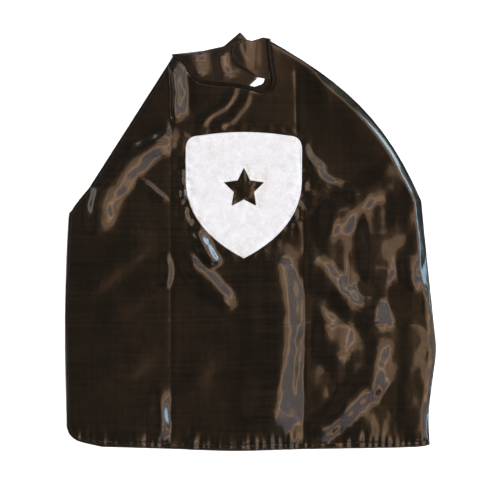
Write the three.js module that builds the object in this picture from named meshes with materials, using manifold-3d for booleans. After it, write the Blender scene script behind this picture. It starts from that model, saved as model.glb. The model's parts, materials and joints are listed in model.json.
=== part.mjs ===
// A child's costume cape of two satin sheets sewn together and turned, with a felt emblem on its back
// and a neck closure of hook and loop tape. It lies flat with the emblem up and the neck towards +Y.
// Millimetres, +Z up, origin at the middle of the surface that it lies on.
import * as THREE from "three";
import { mergeVertices } from "three/addons/utils/BufferGeometryUtils.js";
import Module from "manifold-3d";

const wasm = await Module();
wasm.setup();

// The cape as it lies.
const CAPE_WIDTH = 705;
const CAPE_LENGTH = 796;
const SIDE_SEAM_HEIGHT = 500; // hem to the foot of the left shoulder's slope
const FOLD_SPACING = 251; // between the two pressed folds, where the side panels turn over
const FOLD_CENTRE = -25.8;
const HEM_DEPTH = 10;
const NECK_ROLL = 4; // width of the turned neck edge
const NECK_ROLL_HEIGHT = 5;

// Sheets and clearances.
const SATIN = 1;
const GAP = 0.3; // between pieces that touch
const FOLD_GAP = 0.3; // between a side panel and the centre panel
const STRAP_GAP = 0.5; // between the left strap and the neck edge
const NECK_TRIM = 2; // how far beyond the neck edge the sheets are cut clean

// Felt emblem, a plain shield with a star cut out of it.
const EMBLEM_X = -13;
const EMBLEM_DROP = 190; // top of the neck edge's hollow to the emblem's top
const EMBLEM_WIDTH = 221;
const EMBLEM_HEIGHT = 240;
const EMBLEM_CORNER = 26;
const EMBLEM_DOME = 14;
const FELT = 1.8;
const STAR_RADIUS = 40;
const STAR_RISE = 12; // the star's centre above the emblem's

// Hook and loop tape.
const PATCH_X = -20.5;
const PATCH_Y_DROP = 41; // strap corner to the patches' middle
const LOOP_SIZE = [25, 38];
const HOOK_SIZE = [19, 30];
const LOOP = 1.4;
const HOOK = 1.2;

// Thread runs. Each run of stitches is a flat ribbon.
const THREAD_WIDTH = 1;
const THREAD_HEIGHT = 0.5;
const SEAM_INSET = 5.4; // cape edge to the run of edge stitching
const FELT_STITCH_INSET = 4;
const PATCH_STITCH_INSET = 2;

// What follows from those.
const TOP = CAPE_LENGTH / 2;
const HEM = -CAPE_LENGTH / 2;
const LEFT_FOLD = FOLD_CENTRE - FOLD_SPACING / 2;
const RIGHT_FOLD = FOLD_CENTRE + FOLD_SPACING / 2;
const STACK = 2 * SATIN + GAP; // lining and outer satin together
const ROOM = 2000; // larger than the cape, for cutting boxes
const SHELL = [SATIN + GAP, STACK];
const LINING = [0, SATIN];

const left = (inwards) => -CAPE_WIDTH / 2 + inwards;
const right = (inwards) => CAPE_WIDTH / 2 - inwards;
const below = (down) => TOP - down;
const above = (up) => HEM + up;
const point = (x, y) => new THREE.Vector2(x, y);

const FINISHES = {
  satin: { color: 0x1c1713, roughness: 0.32, metalness: 0 },
  lining: { color: 0x1a1512, roughness: 0.38, metalness: 0 },
  felt: { color: 0xf1ede4, roughness: 0.95, metalness: 0 },
  whiteThread: { color: 0xe9e4d8, roughness: 0.7, metalness: 0 },
  blackThread: { color: 0x15120f, roughness: 0.6, metalness: 0 },
  tape: { color: 0x141312, roughness: 0.85, metalness: 0 },
};

/** A geometry's closed surface as a solid that can be cut and joined. */
function toSolid(geometry) {
  const bare = geometry.clone();
  bare.deleteAttribute("normal");
  bare.deleteAttribute("uv");
  const merged = mergeVertices(bare, 1e-4);
  return new wasm.Manifold(
    new wasm.Mesh({
      numProp: 3,
      vertProperties: merged.attributes.position.array,
      triVerts: new Uint32Array(merged.index.array),
    }),
  );
}

/** A solid's surface as a geometry that a mesh can show. */
function toGeometry(solid) {
  const mesh = solid.getMesh();
  const geometry = new THREE.BufferGeometry();
  geometry.setAttribute("position", new THREE.BufferAttribute(mesh.vertProperties, 3));
  geometry.setIndex(new THREE.BufferAttribute(mesh.triVerts, 1));
  geometry.computeVertexNormals();
  return geometry;
}

/** A flat plate with this outline, from one height to another. */
function plate(outline, [low, high], holes = []) {
  const shape = new THREE.Shape(outline);
  shape.holes = holes.map((hole) => new THREE.Path(hole));
  const geometry = new THREE.ExtrudeGeometry(shape, { depth: high - low, bevelEnabled: false });
  return toSolid(geometry.translate(0, 0, low));
}

/** A block between two corners of the ground plan, tall enough to cut any piece. */
function block(x0, x1, y0, y1) {
  const geometry = new THREE.BoxGeometry(x1 - x0, y1 - y0, ROOM);
  return toSolid(geometry.translate((x0 + x1) / 2, (y0 + y1) / 2, 0));
}

/** Points moved sideways by a distance, to the left of the way they run. */
function shifted(points, distance, closed) {
  const last = points.length - 1;
  return points.map((p, i) => {
    const before = points[i === 0 ? (closed ? last : 0) : i - 1];
    const after = points[i === last ? (closed ? 0 : last) : i + 1];
    const into = p.clone().sub(before).normalize();
    const out = after.clone().sub(p).normalize();
    if (into.lengthSq() === 0) into.copy(out);
    if (out.lengthSq() === 0) out.copy(into);
    const side = point(-into.y - out.y, into.x + out.x).normalize();
    const slant = Math.max(0.35, side.dot(point(-out.y, out.x)));
    return p.clone().addScaledVector(side, distance / slant);
  });
}

/** The closed strip between two sideways distances from a line. */
function strip(line, from, to) {
  return [...shifted(line, from, false), ...shifted(line, to, false).reverse()];
}

/** A ribbon of thread that follows a closed outline, that far inside it. */
function ribbon(outline, inset, [low, high], width = THREAD_WIDTH) {
  const outer = shifted(outline, inset - width / 2, true);
  const inner = shifted(outline, inset + width / 2, true);
  return plate(outer, [low, high]).subtract(plate(inner, [low - 1, high + 1]));
}

/** The neck edge, from the right shoulder round the hollow to the left shoulder. */
function neckEdge() {
  const path = new THREE.Path();
  path.moveTo(31, below(13));
  path.lineTo(36, below(68));
  path.splineThru([
    point(40, below(89)),
    point(37, below(101)),
    point(27, below(111)),
    point(16, below(111)),
    point(1, below(106)),
    point(-31, below(100)),
    point(-69, below(97)),
    point(-98, below(91)),
    point(-113, below(77)),
    point(-120, below(63)),
    point(-132, below(52)),
    point(-147, below(46)),
  ]);
  return path.getPoints(3);
}

/** The whole cape's outline without its straps, anticlockwise from the left end of the hem. */
function capeOutline() {
  const start = new THREE.Path();
  start.moveTo(left(70), above(8));
  start.splineThru([
    point(-150, above(4)),
    point(-30, HEM),
    point(100, above(3.5)),
    point(right(52), above(7)),
    point(right(12), above(12.5)),
  ]);
  start.splineThru([
    point(right(14), above(73)),
    point(right(5), above(147)),
    point(right(0), above(194)),
    point(right(5), above(249)),
    point(right(19), above(382)),
    point(right(28), below(321)),
  ]);
  const shoulder = new THREE.CubicBezierCurve(
    point(right(28), below(321)),
    point(right(95), below(165)),
    point(right(175), below(95)),
    point(31, below(13)),
  );
  const end = new THREE.Path();
  end.moveTo(-147, below(46));
  end.lineTo(left(46), above(SIDE_SEAM_HEIGHT));
  end.splineThru([
    point(left(14), above(SIDE_SEAM_HEIGHT - 41)),
    point(left(6), above(SIDE_SEAM_HEIGHT - 72)),
    point(left(0), above(243)),
    point(left(3.5), above(46)),
  ]);
  end.splineThru([point(left(10), above(30)), point(left(28), above(18)), point(left(70), above(8))]);
  const points = [
    ...start.getPoints(3),
    ...shoulder.getPoints(12),
    ...neckEdge().slice(1, -3),
    ...end.getPoints(3),
  ];
  return points.filter((p, i) => p.distanceTo(points[(i + 1) % points.length]) > 0.01);
}

/** The left strap's outline. Its root follows the straight line that it lifts about. */
function leftStrapOutline() {
  const edge = neckEdge().filter((p) => p.x < -4 && p.x > -96);
  const lower = shifted(edge, -STRAP_GAP, false).reverse();
  return [
    point(-98, below(86)),
    ...lower,
    point(12, below(89)),
    point(-6.8, below(14)),
    point(-19.6, TOP),
    point(-50.5, below(26.7)),
    point(-88.5, below(35.3)),
    point(-140, below(34)),
  ];
}

/** The right strap's outline, with its rounded end over the left strap. */
function rightStrapOutline() {
  const path = new THREE.Path();
  path.moveTo(29.5, below(90));
  path.lineTo(29.5, below(13));
  path.lineTo(24, below(10));
  path.lineTo(3, below(17));
  path.lineTo(-7, below(14.5));
  path.lineTo(-17, below(16));
  path.quadraticCurveTo(-35, below(20), -35, below(42));
  path.quadraticCurveTo(-35, below(56), -25, below(63));
  path.lineTo(-11, below(70));
  path.lineTo(10, below(85.5));
  return path.getPoints(6);
}

/** The emblem's outline: a plain shield, anticlockwise from its foot. */
function shieldOutline() {
  const w = EMBLEM_WIDTH / 2;
  const h = EMBLEM_HEIGHT / 2;
  const brow = h - EMBLEM_DOME / 2;
  const path = new THREE.Path();
  path.moveTo(0, -h);
  path.bezierCurveTo(0.55 * w, -0.74 * h, w, -0.35 * h, w, 0.25 * h);
  path.lineTo(w, brow - EMBLEM_CORNER);
  path.quadraticCurveTo(w, brow, w - EMBLEM_CORNER, brow);
  path.quadraticCurveTo(0, brow + EMBLEM_DOME, -w + EMBLEM_CORNER, brow);
  path.quadraticCurveTo(-w, brow, -w, brow - EMBLEM_CORNER);
  path.lineTo(-w, 0.25 * h);
  path.bezierCurveTo(-w, -0.35 * h, -0.55 * w, -0.74 * h, 0, -h);
  const middle = point(EMBLEM_X, below(EMBLEM_DROP) - h);
  return path
    .getPoints(12)
    .slice(0, -1)
    .map((p) => p.add(middle));
}

/** The star cut out of the emblem, clockwise, so that its left side is the felt. */
function starOutline() {
  const middle = point(EMBLEM_X, below(EMBLEM_DROP) - EMBLEM_HEIGHT / 2 + STAR_RISE);
  return Array.from({ length: 10 }, (_, i) => {
    const radius = i % 2 ? STAR_RADIUS / 2 : STAR_RADIUS;
    const turn = Math.PI / 2 - (i * Math.PI) / 5;
    return point(middle.x + radius * Math.cos(turn), middle.y + radius * Math.sin(turn));
  });
}

/** The outline of a piece of tape, centred where the two straps cross. */
function patchOutline([width, length]) {
  const y = below(PATCH_Y_DROP);
  return [
    point(PATCH_X - width / 2, y - length / 2),
    point(PATCH_X + width / 2, y - length / 2),
    point(PATCH_X + width / 2, y + length / 2),
    point(PATCH_X - width / 2, y + length / 2),
  ];
}

/** The part of the ground plan that each panel takes. */
function panelBlock(name) {
  const half = FOLD_GAP / 2;
  const edges = {
    left: [-ROOM, LEFT_FOLD - half],
    centre: [LEFT_FOLD + half, RIGHT_FOLD - half],
    right: [RIGHT_FOLD + half, ROOM],
  };
  return block(...edges[name], -ROOM, ROOM);
}

/** The cape's plan less its hem: what stays when it is moved up by the hem's depth. */
function aboveHem(outline, depth, heights) {
  const tall = [heights[0] - 1, heights[1] + 1];
  const raised = outline.map((p) => point(p.x, p.y + depth));
  return plate(raised, tall).add(block(-ROOM, ROOM, HEM + 3 * HEM_DEPTH, ROOM));
}

/** One sheet of one panel, stopping short of the hem and the neck edge. */
function panelSheet(outline, name, heights) {
  const roll = plate(strip(neckEdge(), -NECK_TRIM, NECK_ROLL + GAP), [-1, STACK + 1]);
  return plate(outline, heights)
    .intersect(panelBlock(name))
    .intersect(aboveHem(outline, HEM_DEPTH + GAP, heights))
    .subtract(roll);
}

/** The turned hem along the foot of one panel: four layers in one strip. */
function hem(outline, name) {
  const heights = [0, STACK];
  return plate(outline, heights).intersect(panelBlock(name)).subtract(aboveHem(outline, HEM_DEPTH, heights));
}

/** The part of the cape's edge stitching that one panel carries, above or below the middle. */
function edgeStitching(outline, name, y0 = -ROOM, y1 = ROOM) {
  const run = ribbon(outline, SEAM_INSET, [STACK + GAP, STACK + GAP + THREAD_HEIGHT]);
  return run.intersect(panelBlock(name)).intersect(block(-ROOM, ROOM, y0, y1));
}

/** The heights of a thread run and of its groove, in a face that looks up (1) or down (-1). */
function stitchHeights(face, outwards) {
  const seat = face - outwards * (THREAD_HEIGHT + GAP / 2);
  const thread = [seat, seat + outwards * THREAD_HEIGHT].sort((a, b) => a - b);
  const groove = [seat - outwards * GAP, face + outwards].sort((a, b) => a - b);
  return { thread, groove };
}

const group = new THREE.Group();

/** Adds one named piece to the cape. */
function addPiece(name, finish, solid) {
  const mesh = new THREE.Mesh(toGeometry(solid), new THREE.MeshStandardMaterial(FINISHES[finish]));
  mesh.name = name;
  group.add(mesh);
}

/** The satin, the lining, the hem and the edge stitching of the three panels. */
function addPanels() {
  const outline = capeOutline();
  for (const name of ["left", "centre", "right"]) {
    addPiece(`outer_satin_${name}`, "satin", panelSheet(outline, name, SHELL));
    addPiece(`lining_${name}`, "lining", panelSheet(outline, name, LINING));
    addPiece(`hem_${name}`, "satin", hem(outline, name));
  }
  addPiece("edge_stitching_left", "blackThread", edgeStitching(outline, "left"));
  addPiece("edge_stitching_right", "blackThread", edgeStitching(outline, "right"));
  addPiece("hem_stitching_centre", "blackThread", edgeStitching(outline, "centre", -ROOM, 0));
  addPiece("neck_stitching", "blackThread", edgeStitching(outline, "centre", 0, ROOM));
  addPiece("neck_edge_roll", "satin", plate(strip(neckEdge(), 0, NECK_ROLL), [0, NECK_ROLL_HEIGHT]));
}

/** The felt emblem with its two runs of stitching sunk in it. */
function addEmblem() {
  const face = STACK + GAP + FELT;
  const { thread, groove } = stitchHeights(face, 1);
  const shield = shieldOutline();
  const star = starOutline();
  const grooveWidth = THREAD_WIDTH + 2 * GAP;
  const felt = plate(shield, [STACK + GAP, face], [star])
    .subtract(ribbon(shield, FELT_STITCH_INSET, groove, grooveWidth))
    .subtract(starRibbon(star, groove, grooveWidth));
  addPiece("emblem_felt", "felt", felt);
  addPiece("emblem_edge_stitching", "whiteThread", ribbon(shield, FELT_STITCH_INSET, thread));
  addPiece("star_stitching", "whiteThread", starRibbon(star, thread, THREAD_WIDTH));
}

/** A ribbon of thread in the felt round the star. */
function starRibbon(star, [low, high], width) {
  const outer = shifted(star, FELT_STITCH_INSET + width / 2, true);
  const inner = shifted(star, FELT_STITCH_INSET - width / 2, true);
  return plate(outer, [low, high]).subtract(plate(inner, [low - 1, high + 1]));
}

/** One piece of tape with its stitching sunk in the face that meets the other tape. */
function addTape(name, size, [low, high], outwards) {
  const outline = patchOutline(size);
  const { thread, groove } = stitchHeights(outwards > 0 ? high : low, outwards);
  const wide = THREAD_WIDTH + 2 * GAP;
  const tape = plate(outline, [low, high]).subtract(ribbon(outline, PATCH_STITCH_INSET, groove, wide));
  addPiece(name, "tape", tape);
  addPiece(`${name}_stitching`, "blackThread", ribbon(outline, PATCH_STITCH_INSET, thread));
}

/** The two straps, lining side up, and the tapes between them. */
function addStraps() {
  const loop = STACK + GAP;
  const hook = loop + LOOP + GAP;
  const strap = hook + HOOK + GAP;
  addPiece("strap_satin_left", "satin", plate(leftStrapOutline(), [0, SATIN]));
  addPiece("strap_lining_left", "lining", plate(leftStrapOutline(), [SATIN + GAP, STACK]));
  addTape("loop_patch", LOOP_SIZE, [loop, loop + LOOP], 1);
  addTape("hook_patch", HOOK_SIZE, [hook, hook + HOOK], -1);
  addPiece("strap_satin_right", "satin", plate(rightStrapOutline(), [strap, strap + SATIN]));
  addPiece("strap_lining_right", "lining", plate(rightStrapOutline(), [strap + SATIN + GAP, strap + STACK]));
}

addPanels();
addEmblem();
addStraps();

export default group;
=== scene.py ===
"""Looks of a child's costume cape: two sheets of near-black satin sewn together and turned, a felt
shield with a star cut out of it, and two neck straps that close with hook and loop tape.

Plans and heights are worked out in millimetres, in the frame's own axes, and every mesh is written in metres.
"""

import json
import logging
import math
from collections.abc import Callable
from dataclasses import dataclass, field
from enum import Enum

import bmesh
import bpy
import numpy as np
from mathutils import Matrix, Vector


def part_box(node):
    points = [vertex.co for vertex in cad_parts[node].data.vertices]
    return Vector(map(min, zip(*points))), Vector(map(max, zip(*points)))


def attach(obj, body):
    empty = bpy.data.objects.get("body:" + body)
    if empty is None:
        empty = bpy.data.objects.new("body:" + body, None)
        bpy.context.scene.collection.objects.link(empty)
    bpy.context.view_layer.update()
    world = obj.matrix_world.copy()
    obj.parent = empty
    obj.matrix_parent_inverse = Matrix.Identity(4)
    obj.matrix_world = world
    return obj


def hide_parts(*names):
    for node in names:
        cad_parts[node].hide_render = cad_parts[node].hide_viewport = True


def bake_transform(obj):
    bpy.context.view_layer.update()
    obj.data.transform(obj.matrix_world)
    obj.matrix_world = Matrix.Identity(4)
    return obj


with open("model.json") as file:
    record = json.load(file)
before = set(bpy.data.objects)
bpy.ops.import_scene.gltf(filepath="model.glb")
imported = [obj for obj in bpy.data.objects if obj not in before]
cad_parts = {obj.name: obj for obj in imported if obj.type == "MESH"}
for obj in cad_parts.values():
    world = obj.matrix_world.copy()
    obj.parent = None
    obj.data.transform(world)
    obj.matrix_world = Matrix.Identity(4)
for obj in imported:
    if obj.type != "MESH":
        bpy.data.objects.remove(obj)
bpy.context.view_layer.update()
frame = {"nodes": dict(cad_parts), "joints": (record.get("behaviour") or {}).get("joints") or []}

MM = 0.001
FOLD_GAP = 0.3
log = logging.getLogger("cape")

Line = np.ndarray
Height = Callable[[Line, Line], Line]


class Body(str, Enum):
    """The bodies that move as one."""

    CENTRE = "centre_panel"
    LEFT = "left_panel"
    RIGHT = "right_panel"
    LEFT_STRAP = "left_strap"
    RIGHT_STRAP = "right_strap"


class Side(str, Enum):
    """The three panels that the pressed folds divide the cape into."""

    LEFT = "left"
    CENTRE = "centre"
    RIGHT = "right"


class Slot(str, Enum):
    """The record's material slots."""

    OUTER_SATIN = "outer_satin"
    LINING_SATIN = "lining_satin"
    FELT = "felt"
    LIGHT_THREAD = "light_thread"
    DARK_THREAD = "dark_thread"
    LOOP_TAPE = "loop_tape"
    HOOK_TAPE = "hook_tape"


# ---------------------------------------------------------------- plans read from the frame


def plan_loops(node: str) -> list[Line]:
    """Reads the outline of a CAD node's lowest flat face.

    Args:
        node: The CAD node's name.

    Returns:
        One closed line of (x, y) points in millimetres for each edge loop of that face.
    """
    mesh = frame["nodes"][node].data
    places = np.empty(len(mesh.vertices) * 3, np.float32)
    mesh.vertices.foreach_get("co", places)
    places = places.reshape(-1, 3).astype(float) / MM
    mesh.calc_loop_triangles()
    corners = np.empty(len(mesh.loop_triangles) * 3, np.int32)
    mesh.loop_triangles.foreach_get("vertices", corners)
    triangles = places[corners.reshape(-1, 3)]
    lowest = places[:, 2].min()
    flat = triangles[np.all(np.abs(triangles[:, :, 2] - lowest) < 0.02, axis=1)]
    keys = [[tuple(p) for p in t] for t in np.round(flat[:, :, :2] / 0.01).astype(int).tolist()]
    edges = {(t[i], t[(i + 1) % 3]) for t in keys for i in range(3)}
    after = {a: b for a, b in sorted(edges) if (b, a) not in edges}
    loops = []
    while after:
        start = next(iter(after))
        loop = [start]
        step = after.pop(start)
        while step != start and step in after:
            loop.append(step)
            step = after.pop(step)
        loops.append(np.array(loop, float) * 0.01)
    return sorted(loops, key=len, reverse=True)


def panel_loops(node: str) -> list[Line]:
    """Reads the outlines of all three panels of a CAD node, from the start of its name."""
    return [loop for side in Side for loop in plan_loops(f"{node}_{side.value}")]


def widest_loops(node: str) -> list[Line]:
    """Reads the outlines of a CAD node, the widest first."""
    return sorted(plan_loops(node), key=lambda loop: -np.ptp(loop[:, 0]))


def segments_of(loops: list[Line]) -> tuple[Line, Line]:
    """Gives the starts and the ends of every straight piece of some closed lines."""
    starts = np.concatenate(loops)
    ends = np.concatenate([np.roll(loop, -1, axis=0) for loop in loops])
    return starts, ends


def nearest(starts: Line, ends: Line, places: Line) -> tuple[Line, Line]:
    """Finds the nearest point of some straight pieces to each place.

    Args:
        starts: Starts of the pieces.
        ends: Ends of the pieces.
        places: The (x, y) places.

    Returns:
        The distance and the nearest point, for each place.
    """
    run = ends - starts
    length = np.maximum((run**2).sum(1), 1e-12)
    far = np.empty(len(places))
    near = np.empty((len(places), 2))
    for i in range(0, len(places), 4096):
        part = places[i : i + 4096]
        away = part[:, None, :] - starts[None]
        share = np.clip((away * run).sum(2) / length, 0, 1)
        gap = away - share[:, :, None] * run
        reach = (gap**2).sum(2)
        best = reach.argmin(1)
        rows = np.arange(len(part))
        far[i : i + 4096] = np.sqrt(reach[rows, best])
        near[i : i + 4096] = part - gap[rows, best]
    return far, near


@dataclass
class Edge:
    """Some edges of the plan, to measure distances from."""

    starts: Line
    ends: Line

    def distance(self, x: Line, y: Line) -> Line:
        """Gives the distance from each place to these edges."""
        return nearest(self.starts, self.ends, np.column_stack([x, y]))[0]

    def away_from(self, others: list[Line], reach: float) -> "Edge":
        """Keeps the pieces whose middles are further than this from some other outlines."""
        far, _ = nearest(*segments_of(others), (self.starts + self.ends) / 2)
        return Edge(self.starts[far > reach], self.ends[far > reach])


def smooth_line(points: tuple[tuple[float, float], ...], steps: int = 6) -> Line:
    """Draws a smooth line through some points.

    Args:
        points: Points that it passes through.
        steps: Points in each of its spans.

    Returns:
        The line's points.
    """
    p = np.array(points, float)
    p = np.vstack([2 * p[0] - p[1], p, 2 * p[-1] - p[-2]])
    t = np.linspace(0, 1, steps, endpoint=False)[:, None]
    parts = []
    for a, b, c, d in zip(p[:-3], p[1:-2], p[2:-1], p[3:]):
        parts.append(b + 0.5 * t * (c - a + t * (2 * a - 5 * b + 4 * c - d + t * (3 * (b - c) + d - a))))
    return np.vstack([*parts, p[-2:-1]])


def evenly(line: Line, pitch: float) -> Line:
    """Spaces points evenly along an open line.

    Args:
        line: The line's points.
        pitch: The spacing.

    Returns:
        The spaced points.
    """
    steps = np.concatenate([[0], np.cumsum(np.linalg.norm(np.diff(line, axis=0), axis=1))])
    count = max(2, round(steps[-1] / pitch) + 1)
    at = np.linspace(0, steps[-1], count)
    return np.column_stack([np.interp(at, steps, line[:, i]) for i in range(line.shape[1])])


def middle_of_strip(loop: Line, pitch: float = 2.0) -> Line:
    """Finds the middle line of a long narrow strip from its outline.

    Args:
        loop: The outline.
        pitch: Spacing of the middle line's points.

    Returns:
        The middle line's points.
    """
    before = loop - np.roll(loop, 1, axis=0)
    after = np.roll(loop, -1, axis=0) - loop
    crossed = before[:, 0] * after[:, 1] - before[:, 1] * after[:, 0]
    turn = np.abs(np.arctan2(crossed, (before * after).sum(1)))
    corners = np.sort(np.argsort(turn)[-4:])
    sides = []
    for i, a in enumerate(corners):
        b = corners[(i + 1) % 4]
        side = loop[a : b + 1] if b > a else np.vstack([loop[a:], loop[: b + 1]])
        sides.append(side)
    sides.sort(key=lambda s: -np.linalg.norm(np.diff(s, axis=0), axis=1).sum())
    one = evenly(sides[0], pitch)
    _, near = nearest(sides[1][:-1], sides[1][1:], one)
    return (one + near) / 2


def middle_of_ring(outer: Line, inner: Line, pitch: float = 2.0) -> Line:
    """Finds the middle line of a closed ribbon from its two edges, ending on its first point."""
    one = evenly(np.vstack([outer, outer[:1]]), pitch)
    _, near = nearest(*segments_of([inner]), one)
    return (one + near) / 2


# ---------------------------------------------------------------- how the cloth lies


def ease(value: Line) -> Line:
    """Runs smoothly from 0 to 1 as the value does."""
    t = np.clip(value, 0, 1)
    return t * t * (3 - 2 * t)


def rounded(share: Line) -> Line:
    """Runs from 0 to 1 along a quarter of a circle as the share does."""
    return np.sqrt(np.clip(1 - (1 - np.clip(share, 0, 1)) ** 2, 0, 1))


@dataclass
class Ripples:
    """Smooth random waves of one size, the same each time they are made."""

    seed: int
    size: float
    cells: int = 64
    slopes: Line = field(init=False)

    def __post_init__(self) -> None:
        """Draws the slopes at the corners of the cells."""
        turn = np.random.default_rng(self.seed).uniform(0, math.tau, (self.cells, self.cells))
        self.slopes = np.stack([np.cos(turn), np.sin(turn)], axis=2)

    def at(self, x: Line, y: Line, stretch: float = 1.0) -> Line:
        """Gives the wave, from about -1 to 1, at each place; stretch lengthens it along y.

        Args:
            x: Places across the cape.
            y: Places along it.
            stretch: How many times longer the waves are along y.

        Returns:
            A value for each place.
        """
        u = np.asarray(x, float) / self.size + 17.3
        v = np.asarray(y, float) / (self.size * stretch) + 29.1
        i = np.floor(u).astype(int)
        j = np.floor(v).astype(int)
        a = u - i
        b = v - j
        fade_a = a * a * a * (a * (a * 6 - 15) + 10)
        fade_b = b * b * b * (b * (b * 6 - 15) + 10)
        total = np.zeros_like(a)
        for di in (0, 1):
            for dj in (0, 1):
                slope = self.slopes[(i + di) % self.cells, (j + dj) % self.cells]
                reach = slope[..., 0] * (a - di) + slope[..., 1] * (b - dj)
                total += reach * (fade_a if di else 1 - fade_a) * (fade_b if dj else 1 - fade_b)
        return total * 1.6


class Crest(Enum):
    """The sections that a fold may have; SHARP and ROUND give the power that they fall away with."""

    WAVE = 0
    SHARP = 1
    ROUND = 2
    TENT = 5


@dataclass(frozen=True)
class Fold:
    """A soft ridge, or with a negative height a groove, that runs along a line. Sizes are in millimetres.

    Attributes:
        path: Points that its crest runs through.
        height: How far the crest stands up.
        left: Its reach to the left of the way it runs.
        right: Its reach to the right.
        fade: The length over which each end dies away.
        crest: The shape of its section.
    """

    path: tuple[tuple[float, float], ...]
    height: float
    left: float
    right: float
    fade: float = 30.0
    crest: Crest = Crest.WAVE

    def profile(self, share: Line) -> Line:
        """Gives the fold's section: its height at each share of its reach.

        Args:
            share: Distance from the crest, as a share of the reach.

        Returns:
            Shares of the fold's height.
        """
        if self.crest is Crest.WAVE:
            return 0.5 + 0.5 * np.cos(math.pi * np.clip(share, 0, 1))
        if self.crest is Crest.TENT:
            down = 1 - (np.sqrt(share**2 + 0.04) - 0.2)
            return 0.5 * (down + np.sqrt(down**2 + 0.05)) - 0.012
        return np.exp(-(share**self.crest.value))

    def rise(self, x: Line, y: Line) -> Line:
        """Gives how far this fold lifts the cloth at each place.

        Args:
            x: Places across the cape.
            y: Places along it.

        Returns:
            A height for each place.
        """
        line = smooth_line(self.path)
        reach = 3.2 * max(self.left, self.right)
        low, high = line.min(0) - reach, line.max(0) + reach
        total = np.zeros(len(x))
        close = np.flatnonzero((x > low[0]) & (x < high[0]) & (y > low[1]) & (y < high[1]))
        if not len(close):
            return total
        places = np.column_stack([x[close], y[close]])
        starts, runs = line[:-1], np.diff(line, axis=0)
        lengths = np.linalg.norm(runs, axis=1)
        done = np.concatenate([[0], np.cumsum(lengths)[:-1]])
        away = places[:, None, :] - starts[None]
        share = np.clip((away * runs).sum(2) / lengths**2, 0, 1)
        gap = away - share[:, :, None] * runs
        far = (gap**2).sum(2)
        best = far.argmin(1)
        rows = np.arange(len(close))
        sign = runs[best, 0] * gap[rows, best, 1] - runs[best, 1] * gap[rows, best, 0]
        width = np.where(sign > 0, self.left, self.right)
        along = done[best] + share[rows, best] * lengths[best]
        whole = lengths.sum()
        ends = ease(along / self.fade) * ease((whole - along) / self.fade)
        total[close] = self.height * ends * self.profile(np.sqrt(far[rows, best]) / width)
        return total


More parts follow.
